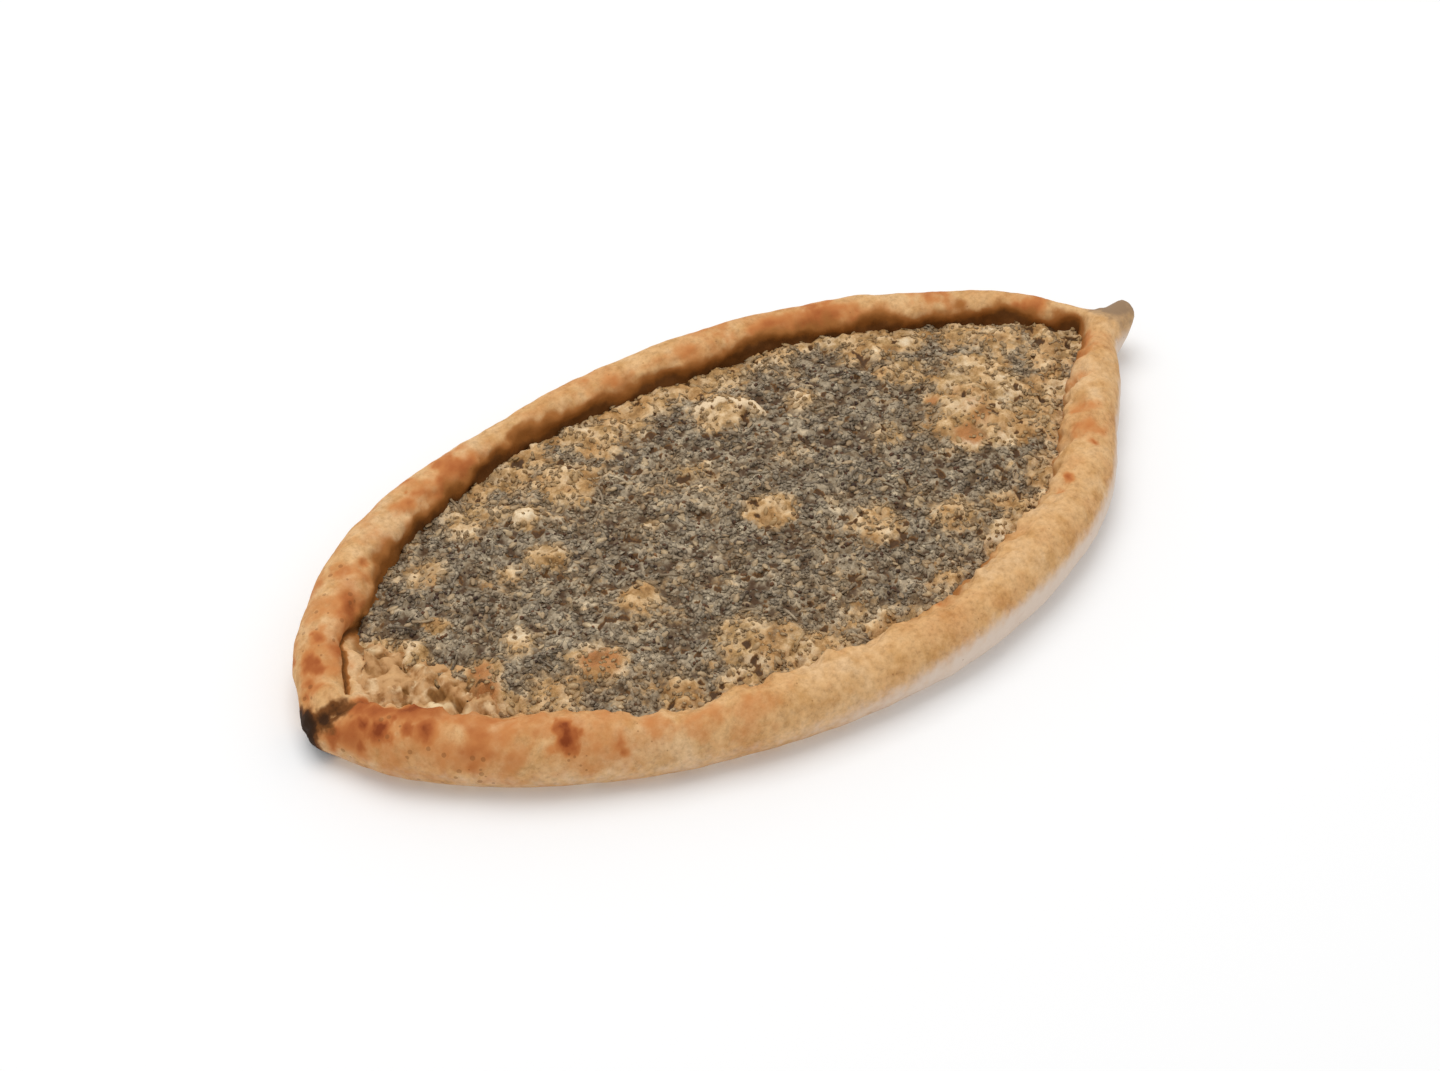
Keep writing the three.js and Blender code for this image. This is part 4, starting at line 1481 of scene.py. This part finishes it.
    @staticmethod
    def closed_mesh(facts, top, faces):
        """The relief on top, and a coarser underside that lies on the dough, as one closed shell."""
        starts, ends = faces.ravel(), np.roll(faces, -1, axis=1).ravel()
        count = len(top)
        border = ~np.isin(starts * count + ends, ends * count + starts)
        ring = np.stack((starts[border], ends[border]), axis=1)
        corners = np.unique(ring)
        plan = facts.plan
        inner = facts.spread_depth > UNDERSIDE_INSET
        inner &= (np.indices(plan.shape) % UNDERSIDE_STRIDE == 0).all(axis=0)
        lower = np.stack((plan.x[inner], plan.y[inner], facts.floor[inner] + UNDERSIDE_LIFT), axis=1)
        points = [Vector(p[:2]) / MM for p in (*top[corners], *lower)]
        edges = np.searchsorted(corners, ring).tolist()
        placed, _, triangles, origins, _, _ = geometry.delaunay_2d_cdt(points, edges, [], 1, 1e-4)
        names = np.concatenate((corners, count + np.arange(len(lower))))
        under = []
        for triangle in triangles:
            a, b, c = (placed[i] for i in triangle)
            named = [int(names[origins[i][0]]) for i in triangle]
            under.append(named if (b - a).cross(c - a) < 0 else named[::-1])
        return mesh_from("zaatar_layer", np.vstack((top, lower)), faces.tolist() + under)


class FLATBREAD_OT_herbs(bpy.types.Operator):
    """Scatter thyme flakes, sumac grains and stalk bits over the topping"""

    bl_idname = "flatbread.herbs"
    bl_label = "Scatter the herbs"

    def execute(self, context):
        settings = context.scene.flatbread_scatter
        surface = bpy.data.objects["zaatar_layer"]
        flakes = [flake_shape(i, *FLAKE_SIZE) for i in range(FLAKE_SHAPES)]
        grit = [grit_shape(i, GRIT_SIZE) for i in range(GRIT_SHAPES)]
        stalks = [stalk_shape(i, *STALK_SIZE) for i in range(STALK_SHAPES)]
        # Each kind's shapes, material, number, smallest and largest scale, tilt and share on bare dough.
        kinds = (
            ("thyme_flakes", flakes, dried_thyme(), settings.flakes, (0.5, 1.2), 0.3, 0.22),
            ("sumac_grains", grit, ground_sumac(), settings.grit, (0.55, 1.3), 1.5, 0.25),
            ("thyme_stalks", stalks, dried_thyme(), settings.stalks, (0.6, 1.5), 0.15, 0.2),
        )
        for i, (name, shapes, material, number, scales, tilt, on_bare) in enumerate(kinds):
            values = scatter_values(number, scales, tilt, on_bare, settings.seed + i)
            piece = scattered(name, surface, shapes, material, values)
            finish_piece(piece, TOPPING)
        return {"FINISHED"}


class FLATBREAD_OT_sesame(bpy.types.Operator):
    """Scatter sesame seeds, half sunk in the topping"""

    bl_idname = "flatbread.sesame"
    bl_label = "Scatter the sesame"

    def execute(self, context):
        settings = context.scene.flatbread_scatter
        seeds = [seed_shape(i, *SEED_SIZE) for i in range(SEED_SHAPES)]
        values = scatter_values(settings.seeds, (0.75, 1.1), 0.4, 0.35, settings.seed + 10)
        surface = bpy.data.objects["zaatar_layer"]
        piece = scattered("sesame_seeds", surface, seeds, toasted_sesame(), values)
        finish_piece(piece, TOPPING)
        return {"FINISHED"}


class FLATBREAD_OT_stage(bpy.types.Operator):
    """Set the loaf on a pale floor under soft light, with a camera"""

    bl_idname = "flatbread.stage"
    bl_label = "Set the stage"

    def execute(self, context):
        settings = context.scene.flatbread_stage
        scene = context.scene

        half = FLOOR_SIZE / 2
        corners = [(x * half, y * half, -FLOOR_DROP) for x, y in ((-1, -1), (1, -1), (1, 1), (-1, 1))]
        floor = mesh_from("studio_floor", corners, [(0, 1, 2, 3)])
        # The board is clear from underneath and to light that leaves the loaf just above it,
        # so that the loaf's underside can be looked at.
        material, tree, shader = new_material("matt_white_board", roughness=0.9, specular=0.1)
        side = add(tree, "ShaderNodeNewGeometry")
        light = add(tree, "ShaderNodeLightPath")
        lengths = {0: light.outputs["Ray Length"], 1: CLOSE_TO_FLOOR}
        close = add(tree, "ShaderNodeMath", lengths, operation="LESS_THAN")
        either = {0: side.outputs["Backfacing"], 1: close.outputs[0]}
        passed = add(tree, "ShaderNodeMath", either, operation="MAXIMUM")
        clear = add(tree, "ShaderNodeBsdfTransparent")
        board = {0: passed.outputs[0], 1: shader.outputs["BSDF"], 2: clear.outputs["BSDF"]}
        shown = add(tree, "ShaderNodeMixShader", board)
        tree.links.new(shown.outputs["Shader"], tree.nodes["Material Output"].inputs["Surface"])
        shader.inputs["Base Color"].default_value = rgba(settings.floor_colour)
        new_object("studio_floor", floor, material)

        world = bpy.data.worlds.new("studio_surroundings")
        world.use_nodes = True
        world.node_tree.nodes.clear()
        even = {"Color": rgba(settings.sky_colour), "Strength": settings.sky}
        glow = add(world.node_tree, "ShaderNodeBackground", even)
        add(world.node_tree, "ShaderNodeOutputWorld", {"Surface": glow.outputs["Background"]})
        scene.world = world

        lamp = bpy.data.lights.new("overhead_softbox", "AREA")
        lamp.energy = settings.key
        lamp.size = SOFTBOX_WIDTH
        softbox = bpy.data.objects.new("overhead_softbox", lamp)
        softbox.location = SOFTBOX_PLACE
        softbox.rotation_euler = (-Vector(SOFTBOX_PLACE)).to_track_quat("-Z", "Y").to_euler()
        scene.collection.objects.link(softbox)

        level, height = math.cos(settings.elevation), math.sin(settings.elevation)
        back = Vector((math.sin(settings.azimuth) * level, -math.cos(settings.azimuth) * level, height))
        camera = bpy.data.cameras.new("studio_camera")
        camera.sensor_width = SENSOR_WIDTH_MM
        camera.lens = FOCAL_LENGTH_MM
        camera.shift_x, camera.shift_y = CAMERA_SHIFT
        viewer = bpy.data.objects.new("studio_camera", camera)
        viewer.location = Vector(CAMERA_AIM) + back * settings.distance
        viewer.rotation_euler = (-back).to_track_quat("-Z", "Y").to_euler()
        scene.collection.objects.link(viewer)
        scene.camera = viewer
        scene.view_settings.view_transform = "Standard"
        return {"FINISHED"}


STEPS = (
    FLATBREAD_OT_stage,
    FLATBREAD_OT_crust,
    FLATBREAD_OT_topping,
    FLATBREAD_OT_herbs,
    FLATBREAD_OT_sesame,
)
SETTINGS = {
    "flatbread_crust": CrustSettings,
    "flatbread_topping": ToppingSettings,
    "flatbread_scatter": ScatterSettings,
    "flatbread_stage": StageSettings,
}


class FLATBREAD_PT_panel(bpy.types.Panel):
    """The flatbread's steps and settings"""

    bl_label = "Zaatar flatbread"
    bl_idname = "FLATBREAD_PT_panel"
    bl_space_type = "VIEW_3D"
    bl_region_type = "UI"
    bl_category = "Flatbread"

    def draw(self, context):
        for step in STEPS:
            self.layout.operator(step.bl_idname)
        for attribute, kind in SETTINGS.items():
            box = self.layout.box()
            box.label(text=kind.__doc__)
            for name in kind.__annotations__:
                box.prop(getattr(context.scene, attribute), name)


def register():
    for kind in (*SETTINGS.values(), *STEPS, FLATBREAD_PT_panel):
        bpy.utils.register_class(kind)
    for attribute, kind in SETTINGS.items():
        setattr(bpy.types.Scene, attribute, PointerProperty(type=kind))


def unregister():
    for attribute in SETTINGS:
        delattr(bpy.types.Scene, attribute)
    for kind in reversed((*SETTINGS.values(), *STEPS, FLATBREAD_PT_panel)):
        bpy.utils.unregister_class(kind)


def main():
    register()
    bpy.ops.flatbread.stage()
    bpy.ops.flatbread.crust()
    bpy.ops.flatbread.topping()
    bpy.ops.flatbread.herbs()
    bpy.ops.flatbread.sesame()


if __name__ == "__main__":
    main()
